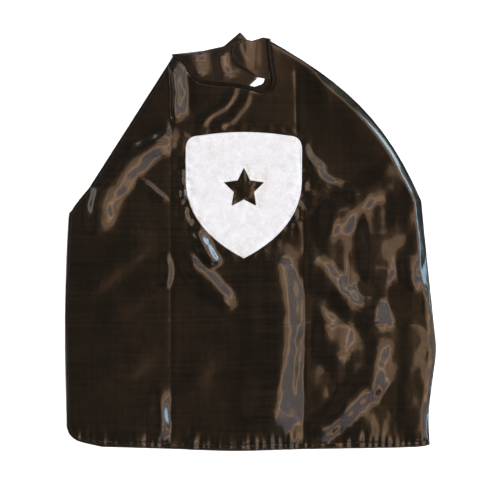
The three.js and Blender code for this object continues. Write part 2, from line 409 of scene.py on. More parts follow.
@dataclass
class Lie:
    """How the cape lies: the height of each of its sheets at any place, in millimetres.

    Attributes:
        left_fold: Where the left pressed fold is.
        right_fold: Where the right pressed fold is.
        base: Height of the outer satin where nothing lifts it.
        edge_height: Height of the seam round the sides.
        roll_reach: How far in from the side seams the satin rounds off.
        calm: How much of the folds' height is left under the felt.
        lowest: The least height of the satin away from its seams.
        hem_depth: Depth of the turned hem.
        hem_low: The least height of the satin above the hem.
        plump: How much the right side puffs up.
        climb: The width over which it does, in from the seam.
        settle: The width over which it dies away again.
        felt_centre: The point that the felt's puckers run out from.
        felt_waist: Height on the cape where those puckers are strongest.
        seam_gap: How near two outlines lie where they share a seam.
        fold_gap: How near an edge lies to a pressed fold that it runs along.
    """

    left_fold: float
    right_fold: float
    base: float = 3.2
    edge_height: float = 1.3
    roll_reach: float = 8.0
    calm: float = 0.35
    lowest: float = 1.6
    hem_depth: float = 10.0
    hem_low: float = 1.2
    plump: float = 6.0
    climb: float = 12.0
    settle: float = 60.0
    felt_centre: tuple[float, float] = (-13.0, 90.0)
    felt_waist: float = 75.0
    seam_gap: float = 0.8
    fold_gap: float = 0.6
    side_edge: Edge = field(init=False)
    foot_edge: Edge = field(init=False)
    hem_line: Edge = field(init=False)
    neck_line: Edge = field(init=False)
    felt_edge: Edge = field(init=False)
    felt_loops: list[Line] = field(init=False)
    waves: Ripples = field(init=False)
    swells: Ripples = field(init=False)
    wrinkles: Ripples = field(init=False)
    puckers: Ripples = field(init=False)

    def __post_init__(self) -> None:
        """Reads from the frame the edges that the cloth is shaped by."""
        panels = panel_loops("outer_satin")
        hems = panel_loops("hem")
        neck = plan_loops("neck_edge_roll")
        whole = Edge(*segments_of(panels))
        sides = whole.away_from(hems, self.seam_gap).away_from(neck, self.seam_gap)
        self.side_edge = self.off_folds(sides)
        self.foot_edge = self.off_folds(Edge(*segments_of(hems)).away_from(panels, self.seam_gap))
        far, _ = nearest(*segments_of(hems), (whole.starts + whole.ends) / 2)
        shared = far < self.seam_gap
        self.hem_line = Edge(whole.starts[shared], whole.ends[shared])
        self.neck_line = Edge(*segments_of(neck))
        self.felt_loops = plan_loops("emblem_felt")
        self.felt_edge = Edge(*segments_of(self.felt_loops))
        self.waves = Ripples(3, 150)
        self.swells = Ripples(11, 62)
        self.wrinkles = Ripples(5, 26)
        self.puckers = Ripples(8, 9)

    def off_folds(self, edge: Edge) -> Edge:
        """Leaves out the pieces of an edge that run along the pressed folds."""
        middle = (edge.starts + edge.ends)[:, 0] / 2
        away = np.minimum(np.abs(middle - self.left_fold), np.abs(middle - self.right_fold))
        return Edge(edge.starts[away > self.fold_gap], edge.ends[away > self.fold_gap])

    def folds(self) -> tuple[Fold, ...]:
        """Lists the soft folds that the cape lies in.

        Returns:
            The folds.
        """
        left, right = self.left_fold, self.right_fold
        return (
            # Lifted lens beside the left shoulder, and the soft fold that runs down from it.
            Fold(
                ((left + 2, 352), (left + 3, 300), (left + 5, 262), (left + 9, 222)),
                8.6, 27, 4, 36, Crest.TENT,
            ),
            Fold(((left + 30, 350), (left + 32, 300), (left + 36, 236)), -1.8, 18, 26, 34),
            Fold(
                ((-136, 224), (-180, 190), (-236, 150), (-276, 104), (-292, 58), (-298, 4)),
                8.8, 46, 26, 60,
            ),
            Fold(((-216, 124), (-184, 100), (-156, 68)), 2.0, 10, 18, 20),
            # Narrow tongue above the emblem.
            Fold(((-18, 290), (-58, 252), (-104, 208)), 2.4, 8, 9, 24, Crest.ROUND),
            Fold(((10, 286), (-30, 246), (-72, 206)), 2.0, 8, 9, 24, Crest.ROUND),
            # Low soft waves of the left and centre panels.
            Fold(((-166, 20), (-220, -14), (-290, -76), (-340, -96)), 1.8, 34, 44, 60),
            Fold(((-160, -96), (-226, -110), (-300, -150)), 1.6, 34, 40, 60),
            Fold(((-170, -200), (-230, -236), (-310, -250)), 1.7, 40, 44, 60),
            Fold(((-60, -180), (-100, -240), (-110, -320)), 1.8, 44, 40, 70),
            Fold(((-130, 150), (-124, 110), (-128, 60)), 3.0, 14, 12, 24),
            # Folds that leave the felt's lower edge.
            Fold(((-104, 30), (-88, -12), (-62, -52)), 7.4, 22, 20, 24),
            Fold(((-140, -26), (-88, -74), (-26, -130)), 6.0, 30, 30, 40),
            # Wide fold down the centre panel, beside the right pressed fold.
            Fold(
                ((52, 14), (46, -50), (56, -110), (58, -190), (50, -270), (46, -390)),
                12.0, 44, 62, 76, Crest.TENT,
            ),
            Fold(((right - 2, 0), (right, -120), (right, -340)), -0.9, 12, 22, 60),
            # Slivers against the left pressed fold.
            Fold(((left - 17, -262), (left - 19, -320), (left - 18, -396)), 6.4, 20, 26, 60),
            Fold(((left - 9, -16), (left - 9, -92)), 3.2, 12, 16, 26),
            # Long folds of the right panel.
            Fold(((96, -14), (136, -66), (192, -116), (270, -160)), 7.6, 38, 44, 44),
            Fold(((116, -384), (158, -336), (208, -292), (262, -254)), 7.6, 42, 38, 40),
            Fold(((120, 0), (176, 62), (232, 104), (296, 128)), 5.0, 40, 46, 50),
            Fold(((104, 138), (150, 112), (214, 92)), 3.2, 18, 24, 30),
            Fold(((98, 192), (114, 154), (146, 128)), 3.6, 14, 20, 28),
            Fold(((210, 66), (226, -10), (234, -100)), 6.6, 60, 18, 60, Crest.TENT),
            Fold(((292, 0), (300, -50), (318, -110)), 5.8, 34, 26, 50),
            Fold(((136, -130), (156, -190), (186, -256)), 3.2, 60, 40, 60),
            Fold(((236, -170), (240, -230), (230, -290)), 3.8, 52, 44, 60),
            Fold(((right + 34, -250), (right + 34, -290), (right + 30, -330)), 3.0, 26, 26, 40),
        )

    def creases(self) -> tuple[Fold, ...]:
        """Lists the pressed folds: two down the cape, one across it and two faint short ones.

        Returns:
            The pressed folds.
        """
        left, right = self.left_fold, self.right_fold
        return (
            Fold(((left, 356), (left, 100), (left, -150), (left, -402)), -0.55, 3.6, 3.6, 6, Crest.SHARP),
            Fold(
                ((right - 14, 330), (right - 11, 200), (right, 60), (right + 2, -120), (right, -402)),
                -0.9, 3.4, 3.4, 6, Crest.SHARP,
            ),
            Fold(((-360, -155), (-150, -153), (100, -157), (360, -156)), -0.75, 3.4, 3.4, 6, Crest.SHARP),
            Fold(((185, -14), (186, -60), (184, -96)), -0.6, 3, 3, 14, Crest.SHARP),
            Fold(((229, -20), (230, -58), (228, -92)), -0.6, 3, 3, 14, Crest.SHARP),
        )

    def drift(self, x: Line, y: Line) -> tuple[Line, Line]:
        """Shifts places a little, so that the soft folds wander and their edges are uneven."""
        across = 6.0 * self.swells.at(x + 500, y, 1.5) + 2.0 * self.wrinkles.at(x, y + 300)
        along = 6.0 * self.swells.at(x, y - 700) + 2.0 * self.wrinkles.at(x - 200, y)
        return x + across, y + along

    def felt_pull(self, x: Line, y: Line) -> Line:
        """Gives the short puckers that the felt's stitching draws in the satin around it.

        Args:
            x: Places across the cape.
            y: Places along it.

        Returns:
            A height for each place.
        """
        middle_x, middle_y = self.felt_centre
        far = self.felt_edge.distance(x, y)
        close = np.exp(-((far / 15) ** 1.5))
        turn = np.arctan2(y - middle_y, x - middle_x) * 130
        ripple = np.sin(turn / 7.5 + 2.2 * self.swells.at(x, y))
        wave = 0.6 * self.puckers.at(turn, far * 0.35) + 0.4 * ripple
        beside = ease((np.abs(x - middle_x) - 70) / 30) * ease(1.4 - np.abs(y - self.felt_waist) / 70)
        sides = 0.25 + 0.75 * beside
        crumple = self.wrinkles.at(x * 1.7 + 90, y * 1.7) * np.exp(-((far / 20) ** 2))
        return (1.9 * close * wave + 3.4 * crumple) * sides

    def hem_pull(self, x: Line, far: Line) -> Line:
        """Gives the short upright puckers that the hem's stitching draws in.

        Args:
            x: Where along the hem.
            far: Distance above the hem's stitching.

        Returns:
            The rise of the cloth.
        """
        wave = 0.5 * self.puckers.at(x * 0.9, far * 0.2) + 0.6 * self.puckers.at(x * 0.5 + 400, far * 0.15)
        along = self.swells.at(x, np.full_like(x, -380.0))
        place = 0.25 + 0.75 * ease(0.3 + 1.6 * along + ease((x + 10) / 60) * 0.35)
        return 5.8 * np.exp(-np.abs(far) / 13) * wave * place

    def under_felt(self, x: Line, y: Line) -> Line:
        """Says how far each place is in under the felt, from 0 to 1."""
        inside = inside_loops(self.felt_loops[:1], x, y)
        far = self.felt_edge.distance(x, y)
        return np.where(inside, ease(far / 22), 0.0)

    def free_height(self, x: Line, y: Line) -> Line:
        """Gives the outer satin's height before its seams hold it down.

        Args:
            x: Places across the cape.
            y: Places along it.

        Returns:
            A height for each place.
        """
        covered = self.under_felt(x, y)
        lift = np.zeros(len(x))
        drifted = self.drift(x, y)
        for fold in self.folds():
            lift += fold.rise(*drifted)
        for crease in self.creases():
            lift += crease.rise(x, y)
        lively = ease((x - self.right_fold) / 50) * ease((150 - y) / 90)
        lift += (1.1 + 2.6 * lively) * self.waves.at(x, y)
        lift += (0.5 + 3.0 * lively) * self.swells.at(x, y, 1.3)
        lift += (0.10 + 0.85 * lively) * self.wrinkles.at(x, y, 1.6)
        lift += self.felt_pull(x, y)
        calm = 1 - (1 - self.calm) * covered
        return self.base + lift * calm + 0.6 * covered

    def satin(self, x: Line, y: Line) -> Line:
        """Gives the height of the outer satin's face at each place.

        Args:
            x: Places across the cape.
            y: Places along it.

        Returns:
            A height for each place.
        """
        free = self.free_height(x, y)
        neck = self.neck_line.distance(x, y)
        free = np.maximum(free, self.lowest) + np.exp(-((neck / 16) ** 2)) * ease(neck / 5 + 0.35)
        above_hem = self.hem_line.distance(x, y)
        free = np.maximum(free + self.hem_pull(x, above_hem), self.hem_low)
        held = 1 - 0.3 * np.exp(-((above_hem / 2.6) ** 2))
        free = 1.0 + (free - 1.0) * held
        far = self.side_edge.distance(x, y)
        puffy = ease((x - 90) / 60) * (0.35 + 0.65 * ease((y + 150) / 120))
        round_off = rounded(far / (self.roll_reach - 3 * puffy))
        climb = np.clip((far - 1.5) / self.climb, 0, 1)
        settle = np.exp(-((np.maximum(far - (self.climb + 1), 0) / self.settle) ** 2))
        plump = self.plump * puffy * climb * settle * (1 + 0.14 * self.swells.at(x, y - 90))
        return self.edge_height + (free + plump - self.edge_height) * round_off

    def hem(self, x: Line, y: Line) -> Line:
        """Gives the height of the turned hem's face.

        Args:
            x: Places across the cape.
            y: Places along it.

        Returns:
            A height for each place.
        """
        foot = self.foot_edge.distance(x, y)
        share = np.clip(foot / self.hem_depth, 0, 1)
        bulge = 0.9 + 1.7 * rounded(foot / 4)
        seam = self.hem_pull(x, (1 - share) * 4)
        stitch = -0.35 * np.exp(-(((foot - 5.4) / 1.1) ** 2))
        return np.maximum(bulge + seam * (0.45 + 0.55 * share) + stitch, 0.75)

    def lining(self, x: Line, y: Line) -> Line:
        """Gives the height of the lining's upper side, which lies almost flat."""
        satin = self.satin(x, y)
        return np.clip(0.42 + 0.22 * (satin - 1.2), 0.42, np.maximum(satin - 0.75, 0.42))


def inside_loops(loops: list[Line], x: Line, y: Line) -> Line:
    """Says which places are inside some closed lines.

    Args:
        loops: The closed lines.
        x: Places across the cape.
        y: Places along it.

    Returns:
        True for each place that is inside.
    """
    starts, ends = segments_of(loops)
    inside = np.zeros(len(x), bool)
    for (ax, ay), (bx, by) in zip(starts, ends):
        if ay == by:
            continue
        crosses = (ay > y) != (by > y)
        inside ^= crosses & (x < (bx - ax) * (y - ay) / (by - ay) + ax)
    return inside


# ---------------------------------------------------------------- meshes


@dataclass
class Plan:
    """A lattice of small squares that fills an outline, with its rim drawn onto the outline.

    Attributes:
        loops: Closed outlines, holes among them.
        pitch: Size of the squares.
        anchor: An x that a line of the lattice runs through.
        rim: The edges that the rim is drawn onto, where they aren't all of the loops.
    """

    loops: list[Line]
    pitch: float
    anchor: float = 0.0
    rim: Edge | None = None
    points: Line = field(init=False)
    squares: Line = field(init=False)

    def __post_init__(self) -> None:
        """Fills the outline."""
        everything = np.concatenate(self.loops)
        low, high = everything.min(0), everything.max(0)
        first = self.anchor + math.floor((low[0] - self.anchor) / self.pitch) * self.pitch
        across = math.ceil((high[0] - first) / self.pitch)
        up = math.ceil((high[1] - low[1]) / self.pitch)
        x = first + np.arange(across + 1) * self.pitch
        y = low[1] + np.arange(up + 1) * self.pitch
        starts, ends = segments_of(self.loops)
        filled = np.zeros((up, across), bool)
        middles = (x[:-1] + x[1:]) / 2
        for row in range(up):
            level = (y[row] + y[row + 1]) / 2 + 1e-4
            cut = (starts[:, 1] > level) != (ends[:, 1] > level)
            a, b = starts[cut], ends[cut]
            at = np.sort(a[:, 0] + (b[:, 0] - a[:, 0]) * (level - a[:, 1]) / (b[:, 1] - a[:, 1]))
            filled[row] = np.searchsorted(at, middles) % 2 == 1
        row, column = np.nonzero(filled)
        corner = row * (across + 1) + column
        squares = np.column_stack([corner, corner + 1, corner + across + 2, corner + across + 1])
        used, new = np.unique(squares, return_inverse=True)
        self.squares = new.reshape(-1, 4)
        self.points = np.column_stack([x[used % (across + 1)], y[used // (across + 1)]])
        counts = np.bincount(self.squares.ravel(), minlength=len(used))
        loose = np.flatnonzero(counts < 4)
        rim = self.rim or Edge(starts, ends)
        far, near = nearest(rim.starts, rim.ends, self.points[loose])
        moved = far < 1.6 * self.pitch
        self.points[loose[moved]] = near[moved]

    def part(self, keep: Line) -> "Part":
        """Takes some of the squares, as a part with its own points.

        Args:
            keep: Which squares to take.

        Returns:
            The part.
        """
        used, new = np.unique(self.squares[keep], return_inverse=True)
        return Part(used, self.points[used], new.reshape(-1, 4))

    def middles(self) -> Line:
        """Gives the middle of each square."""
        return self.points[self.squares].mean(1)

    def normals(self, heights: Line) -> Line:
        """Gives the way that the surface faces at each point, smoothed over the squares that meet there.

        Args:
            heights: Height of each point.

        Returns:
            A unit vector for each point.
        """
        places = np.column_stack([self.points, heights])
        a, b, c, d = (places[self.squares[:, i]] for i in range(4))
        faces = np.cross(c - a, d - b)
        total = np.zeros_like(places)
        for i in range(4):
            np.add.at(total, self.squares[:, i], faces)
        return total / np.maximum(np.linalg.norm(total, axis=1), 1e-9)[:, None]


@dataclass
class Part:
    """Some of a plan's squares, with the points that they use and where those are."""

    used: Line
    points: Line
    squares: Line

    def area(self) -> float:
        """Gives the flat area in square metres."""
        a, b, c, d = (self.points[self.squares[:, i]] for i in range(4))
        cross = (c - a)[:, 0] * (d - b)[:, 1] - (c - a)[:, 1] * (d - b)[:, 0]
        return float(np.abs(cross).sum() / 2) * MM * MM

    def flat(self) -> tuple[float, float]:
        """Gives the width and the length of the flat piece in metres."""
        size = (self.points.max(0) - self.points.min(0)) * MM
        return float(size[0]), float(size[1])

    def edges(self) -> Line:
        """Gives the edges that only one square has, as pairs of points in the order of that square.

        Returns:
            The pairs of points.
        """
        pairs = np.concatenate([self.squares[:, [i, (i + 1) % 4]] for i in range(4)])
        pairs = pairs[pairs[:, 0] != pairs[:, 1]]
        size = len(self.points)
        forward = pairs[:, 0].astype(np.int64) * size + pairs[:, 1]
        backward = pairs[:, 1].astype(np.int64) * size + pairs[:, 0]
        return pairs[~np.isin(forward, backward)]


def hang(name: str, data: bpy.types.ID) -> bpy.types.Object:
    """Puts a mesh, a light or a camera in the scene, as an object at the origin."""
    thing = bpy.data.objects.new(name, data)
    bpy.context.scene.collection.objects.link(thing)
    return thing


def enter(piece: bpy.types.Object, node: str | None = None) -> None:
    """Hides the CAD node that a piece stands for, and logs the piece's faces.

    Args:
        piece: The piece.
        node: The CAD node that it stands for, if there is one.
    """
    if node:
        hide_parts(node)
    log.info("%s: %d faces", piece.name, len(piece.data.polygons))


def new_object(name: str, places: Line, faces: list, finish: bpy.types.Material) -> bpy.types.Object:
    """Makes a mesh object at the origin from places in millimetres.

    Args:
        name: The piece's name.
        places: Its points.
        faces: Its faces, as lists or an array of point numbers.
        finish: Its material.

    Returns:
        The object, smooth-shaded.
    """
    mesh = bpy.data.meshes.new(name)
    mesh.from_pydata((np.asarray(places) * MM).tolist(), [], [list(map(int, f)) for f in faces])
    mesh.validate()
    mesh.materials.append(finish)
    mesh.shade_smooth()
    mesh.update()
    return hang(name, mesh)


def shell(
    name: str,
    part: Part,
    top: Line,
    bottom: Line,
    finish: bpy.types.Material,
    normals: Line | None = None,
) -> bpy.types.Object:
    """Makes a closed thin shell over some squares.

    Args:
        name: The piece's name.
        part: Its squares.
        top: Height of the upper face at each point.
        bottom: Height of the lower face at each point.
        finish: Its material.
        normals: The way that its upper face looks at each point, where the part joins another.

    Returns:
        The object.
    """
    size = len(part.points)
    places = np.vstack([np.column_stack([part.points, top]), np.column_stack([part.points, bottom])])
    rim = part.edges()
    walls = np.column_stack([rim[:, 1], rim[:, 0], rim[:, 0] + size, rim[:, 1] + size])
    faces = np.vstack([part.squares, part.squares[:, ::-1] + size, walls])
    mesh = bpy.data.meshes.new(name)
    mesh.vertices.add(len(places))
    mesh.vertices.foreach_set("co", (places * MM).astype(np.float32).ravel())
    mesh.loops.add(faces.size)
    mesh.loops.foreach_set("vertex_index", faces.astype(np.int32).ravel())
    mesh.polygons.add(len(faces))
    mesh.polygons.foreach_set("loop_start", np.arange(0, faces.size, 4, dtype=np.int32))
    mesh.update(calc_edges=True)
    mesh.validate()
    mesh.materials.append(finish)
    mesh.shade_smooth()
    if normals is not None and len(mesh.vertices) == len(places):
        mesh.normals_split_custom_set_from_vertices(np.vstack([normals, -normals]).tolist())
    return hang(name, mesh)


def tube(name: str, rings: Line, finish: bpy.types.Material) -> bpy.types.Object:
    """Makes a closed tube from rings of points.

    Args:
        name: The piece's name.
        rings: The rings, as (ring, point, xyz).
        finish: Its material.

    Returns:
        The object.
    """
    count, sides, _ = rings.shape
    places = np.vstack([rings.reshape(-1, 3), rings[0].mean(0), rings[-1].mean(0)])
    faces = []
    for i in range(count - 1):
        for k in range(sides):
            m = (k + 1) % sides
            faces.append([i * sides + k, i * sides + m, (i + 1) * sides + m, (i + 1) * sides + k])
    for k in range(sides):
        m = (k + 1) % sides
        faces.append([count * sides, m, k])
        faces.append([count * sides + 1, (count - 1) * sides + k, (count - 1) * sides + m])
    thing = new_object(name, places, faces, finish)
    face_outwards(thing)
    return thing


def face_outwards(thing: bpy.types.Object) -> None:
    """Turns a closed mesh's faces so that they all point out.

    Args:
        thing: The mesh's object.
    """
    work = bmesh.new()
    work.from_mesh(thing.data)
    bmesh.ops.recalc_face_normals(work, faces=work.faces)
    work.to_mesh(thing.data)
    work.free()
    thing.data.update()


# ---------------------------------------------------------------- geometry node trees


class NodeTree:
    """A node tree that is being built, with a short way to add nodes and join them."""

    def __init__(self, tree: bpy.types.NodeTree) -> None:
        """Starts on a tree."""
        self.tree = tree

    def add(self, kind: str, inputs: dict | None = None, **settings: object) -> bpy.types.Node:
        """Adds a node.

        Args:
            kind: Its Blender type.
            inputs: Values or output sockets for its inputs, by name or number.
            settings: Its own properties.

        Returns:
            The node.
        """
        node = self.tree.nodes.new(kind)
        for key, value in settings.items():
            setattr(node, key, value)
        for key, value in (inputs or {}).items():
            if isinstance(value, bpy.types.NodeSocket):
                self.tree.links.new(value, node.inputs[key])
            else:
                node.inputs[key].default_value = value
        return node

    def group(self, tree: bpy.types.NodeTree, inputs: dict) -> bpy.types.Node:
        """Adds a shader node group, with values or sockets for its inputs."""
        return self.add("ShaderNodeGroup", inputs, node_tree=tree)

    def sum_up(self, operation: str, *values: object) -> bpy.types.NodeSocket:
        """Adds a Math node, and gives its result."""
        return self.add("ShaderNodeMath", dict(enumerate(values)), operation=operation).outputs[0]


def geometry_tree(name: str, sizes: dict[str, float], seed: int) -> tuple[NodeTree, bpy.types.Node]:
    """Starts a Geometry Nodes tree with named inputs.

    Args:
        name: The tree's name.
        sizes: Its float inputs and what they start as.
        seed: What its Seed input starts as.

    Returns:
        The tree and its group input node.
    """
    tree = bpy.data.node_groups.new(name, "GeometryNodeTree")
    tree.is_modifier = True
    tree.interface.new_socket("Geometry", in_out="OUTPUT", socket_type="NodeSocketGeometry")
    tree.interface.new_socket("Geometry", in_out="INPUT", socket_type="NodeSocketGeometry")
    for label, value in sizes.items():
        socket = tree.interface.new_socket(label, in_out="INPUT", socket_type="NodeSocketFloat")
        socket.default_value = value
    socket = tree.interface.new_socket("Seed", in_out="INPUT", socket_type="NodeSocketInt")
    socket.default_value = seed
    tree.interface.new_socket("Finish", in_out="INPUT", socket_type="NodeSocketMaterial")
    bench = NodeTree(tree)
    return bench, bench.add("NodeGroupInput")


def finish_tree(
    bench: NodeTree, source: bpy.types.Node, instances: bpy.types.NodeSocket
) -> bpy.types.NodeTree:
    """Ends a tree: the instances become real faces, smooth, with the finish that the tree is given.

    Args:
        bench: The tree that is being built.
        source: Its group input node.
        instances: What it has made so far.

    Returns:
        The tree.
    """
    real = bench.add("GeometryNodeRealizeInstances", {0: instances})
    smooth = bench.add("GeometryNodeSetShadeSmooth", {"Geometry": real.outputs[0]})
    dressed = bench.add(
        "GeometryNodeSetMaterial", {"Geometry": smooth.outputs[0], "Material": source.outputs["Finish"]}
    )
    out = bench.add("NodeGroupOutput")
    bench.tree.links.new(dressed.outputs[0], out.inputs[0])
    return bench.tree


def stitch_tree() -> bpy.types.NodeTree:
    """Builds the tree that sews a run of stitches along a line.

    Returns:
        The tree.
    """
    bench, source = geometry_tree(
        "Sewn Stitches",
        {"Pitch": 3.2 * MM, "Stitch Length": 2.5 * MM, "Thread Width": 0.6 * MM, "Thread Height": 0.45 * MM,
         "Unevenness": 0.12},
        4,
    )
    curve = bench.add("GeometryNodeMeshToCurve", {"Mesh": source.outputs["Geometry"]})
    spaced = bench.add(
        "GeometryNodeResampleCurve",
        {"Curve": curve.outputs[0], "Length": source.outputs["Pitch"]},
        mode="LENGTH",
    )
    tangent = bench.add("GeometryNodeInputTangent")
    turned = bench.add("FunctionNodeAlignRotationToVector", {"Vector": tangent.outputs[0]}, axis="X")
    uneven = bench.add(
        "FunctionNodeRandomValue",
        {"Min": bench.sum_up("SUBTRACT", 1.0, source.outputs["Unevenness"]),
         "Max": bench.sum_up("ADD", 1.0, source.outputs["Unevenness"]),
         "Seed": source.outputs["Seed"]},
        data_type="FLOAT",
    )
    value = next(s for s in uneven.outputs if s.type == "VALUE" and s.enabled)
    length = bench.sum_up("MULTIPLY", source.outputs["Stitch Length"], value)
    scale = bench.add(
        "ShaderNodeCombineXYZ",
        {0: bench.sum_up("MULTIPLY", length, 0.5),
         1: bench.sum_up("MULTIPLY", source.outputs["Thread Width"], 0.5),
         2: bench.sum_up("MULTIPLY", source.outputs["Thread Height"], 0.5)},
    )
    bead = bench.add("GeometryNodeMeshUVSphere", {"Segments": 8, "Rings": 6, "Radius": 1.0})
    placed = bench.add(
        "GeometryNodeInstanceOnPoints",
        {"Points": spaced.outputs[0], "Instance": bead.outputs[0], "Rotation": turned.outputs[0],
         "Scale": scale.outputs[0]},
    )
    return finish_tree(bench, source, placed.outputs[0])


def pile_tree() -> bpy.types.NodeTree:
    """Builds the tree that sets small bent wires all over a face, as loops or as open hooks.

    Returns:
        The tree.
    """
    bench, source = geometry_tree(
        "Tape Pile",
        {"Spacing": 1.1 * MM, "Height": 0.9 * MM, "Wire": 0.13 * MM, "Bend": 5.2, "Disorder": 0.5},
        9,
    )
    points = bench.add(
        "GeometryNodeDistributePointsOnFaces",
        {"Mesh": source.outputs["Geometry"], "Distance Min": source.outputs["Spacing"],
         "Density Max": 2500000.0, "Seed": source.outputs["Seed"]},
        distribute_method="POISSON",
    )
    arc = bench.add(
        "GeometryNodeCurveArc",
        {"Resolution": 9, "Radius": bench.sum_up("MULTIPLY", source.outputs["Height"], 0.5),
         "Sweep Angle": source.outputs["Bend"], "Start Angle": -1.2},
        mode="RADIUS",
    )
    upright = bench.add(
        "GeometryNodeTransform", {"Geometry": arc.outputs[0], "Rotation": (math.pi / 2, 0.0, 0.0)}
    )
    ring = bench.add("GeometryNodeCurvePrimitiveCircle", {"Resolution": 4, "Radius": source.outputs["Wire"]})
    wire = bench.add(
        "GeometryNodeCurveToMesh",
        {"Curve": upright.outputs[0], "Profile Curve": ring.outputs[0], "Fill Caps": True},
    )
    tilt = bench.add(
        "FunctionNodeRandomValue",
        {"Seed": source.outputs["Seed"]},
        data_type="FLOAT_VECTOR",
    )
    tilt.inputs["Min"].default_value = (-0.5, -0.5, -3.2)
    tilt.inputs["Max"].default_value = (0.5, 0.5, 3.2)
    spread = bench.add(
        "ShaderNodeVectorMath",
        {0: tilt.outputs[0], "Scale": source.outputs["Disorder"]},
        operation="SCALE",
    )
    placed = bench.add(
        "GeometryNodeInstanceOnPoints",
        {"Points": points.outputs[0], "Instance": wire.outputs[0], "Rotation": spread.outputs[0]},
    )
    return finish_tree(bench, source, placed.outputs[0])


def grow(
    name: str,
    seed_mesh: bpy.types.Object,
    tree: bpy.types.NodeTree,
    finish: bpy.types.Material,
    sizes: dict[str, float],
) -> bpy.types.Object:
    """Runs a Geometry Nodes tree on an object, and keeps the plain mesh that it makes.

    Args:
        name: The new piece's name.
        seed_mesh: The line or face to run it on, which is removed.
        tree: The tree.
        finish: The new piece's material.
        sizes: Values for the tree's inputs, by name.

    Returns:
        The new piece.
    """
    maker = seed_mesh.modifiers.new("Maker", "NODES")
    maker.node_group = tree
    sockets = {s.name: s.identifier for s in tree.interface.items_tree if s.in_out == "INPUT"}
    for label, value in sizes.items():
        maker[sockets[label]] = value
    maker[sockets["Finish"]] = finish
    bpy.context.view_layer.update()
    grown = bpy.data.meshes.new_from_object(seed_mesh.evaluated_get(bpy.context.evaluated_depsgraph_get()))
    seed_mesh.modifiers.remove(maker)
    bpy.data.objects.remove(seed_mesh)
    grown.name = name
    return hang(name, grown)


def thread_line(name: str, places: Line) -> bpy.types.Object:
    """Makes a line of edges, in millimetres, for stitches to be sewn along.

    Args:
        name: The object's name.
        places: The line's points.

    Returns:
        The line's object.
    """
    mesh = bpy.data.meshes.new(name)
    steps = [(i, i + 1) for i in range(len(places) - 1)]
    mesh.from_pydata((places * MM).tolist(), steps, [])
    return hang(name, mesh)


# ---------------------------------------------------------------- finishes


def effect_group(
    name: str, inputs: dict[str, float], outputs: tuple[str, ...]
) -> tuple[NodeTree, bpy.types.Node, bpy.types.Node]:
    """Starts a shader node group with float inputs and outputs.

    Args:
        name: The group's name.
        inputs: Its inputs and what they start as.
        outputs: Its outputs.

    Returns:
        The tree, its input node and its output node.
    """
    tree = bpy.data.node_groups.new(name, "ShaderNodeTree")
    tree.interface.new_socket("Vector", in_out="INPUT", socket_type="NodeSocketVector")
    for label, value in inputs.items():
        socket = tree.interface.new_socket(label, in_out="INPUT", socket_type="NodeSocketFloat")
        socket.default_value = value
    for label in outputs:
        tree.interface.new_socket(label, in_out="OUTPUT", socket_type="NodeSocketFloat")
    bench = NodeTree(tree)
    return bench, bench.add("NodeGroupInput"), bench.add("NodeGroupOutput")


def weave_group() -> bpy.types.NodeTree:
    """Builds the woven threads of satin: fine floats across the cloth, and slubs that run with them.

    Returns:
        The tree.
    """
    bench, source, out = effect_group(
        "Woven Threads", {"Threads": 620.0, "Slub": 1.0, "Depth": 1.0}, ("Height", "Tone")
    )
    where = source.outputs["Vector"]
    warp = bench.add(
        "ShaderNodeTexWave",
        {"Vector": where, "Scale": source.outputs["Threads"], "Distortion": 1.5, "Detail": 1.0},
        bands_direction="X",
    )
    weft = bench.add(
        "ShaderNodeTexWave",
        {"Vector": where, "Distortion": 2.0,
         "Scale": bench.sum_up("MULTIPLY", source.outputs["Threads"], 0.22)},
        bands_direction="Y",
    )
    stretched = bench.add("ShaderNodeMapping", {"Vector": where, "Scale": (7.0, 190.0, 40.0)})
    slub = bench.add("ShaderNodeTexNoise", {"Vector": stretched.outputs[0], "Scale": 1.0, "Detail": 3.0})
    upright = bench.add("ShaderNodeMapping", {"Vector": where, "Scale": (170.0, 6.0, 40.0)})
    rib = bench.add("ShaderNodeTexNoise", {"Vector": upright.outputs[0], "Scale": 1.0, "Detail": 2.0})
    crinkle = bench.add(
        "ShaderNodeTexNoise", {"Vector": where, "Scale": 95.0, "Detail": 4.0, "Roughness": 0.55}
    )
    threads = bench.sum_up("ADD", bench.sum_up("MULTIPLY", warp.outputs["Fac"], 0.012),
                           bench.sum_up("MULTIPLY", weft.outputs["Fac"], 0.03))
    threads = bench.sum_up("ADD", threads, bench.sum_up("MULTIPLY", crinkle.outputs["Fac"], 1.6))
    upright_share = bench.sum_up("MULTIPLY", rib.outputs["Fac"], 0.6)
    level_share = bench.sum_up("MULTIPLY", slub.outputs["Fac"], 1.4)
    slubs = bench.sum_up("MULTIPLY", bench.sum_up("ADD", level_share, upright_share), source.outputs["Slub"])
    ridges = bench.sum_up("MULTIPLY", slubs, 0.25)
    height = bench.sum_up("MULTIPLY", bench.sum_up("ADD", threads, ridges), source.outputs["Depth"])
    bench.tree.links.new(height, out.inputs["Height"])
    streaks = bench.add("ShaderNodeMapRange", {"Value": slubs, "From Min": 0.72, "From Max": 1.28})
    bench.tree.links.new(streaks.outputs[0], out.inputs["Tone"])
    return bench.tree


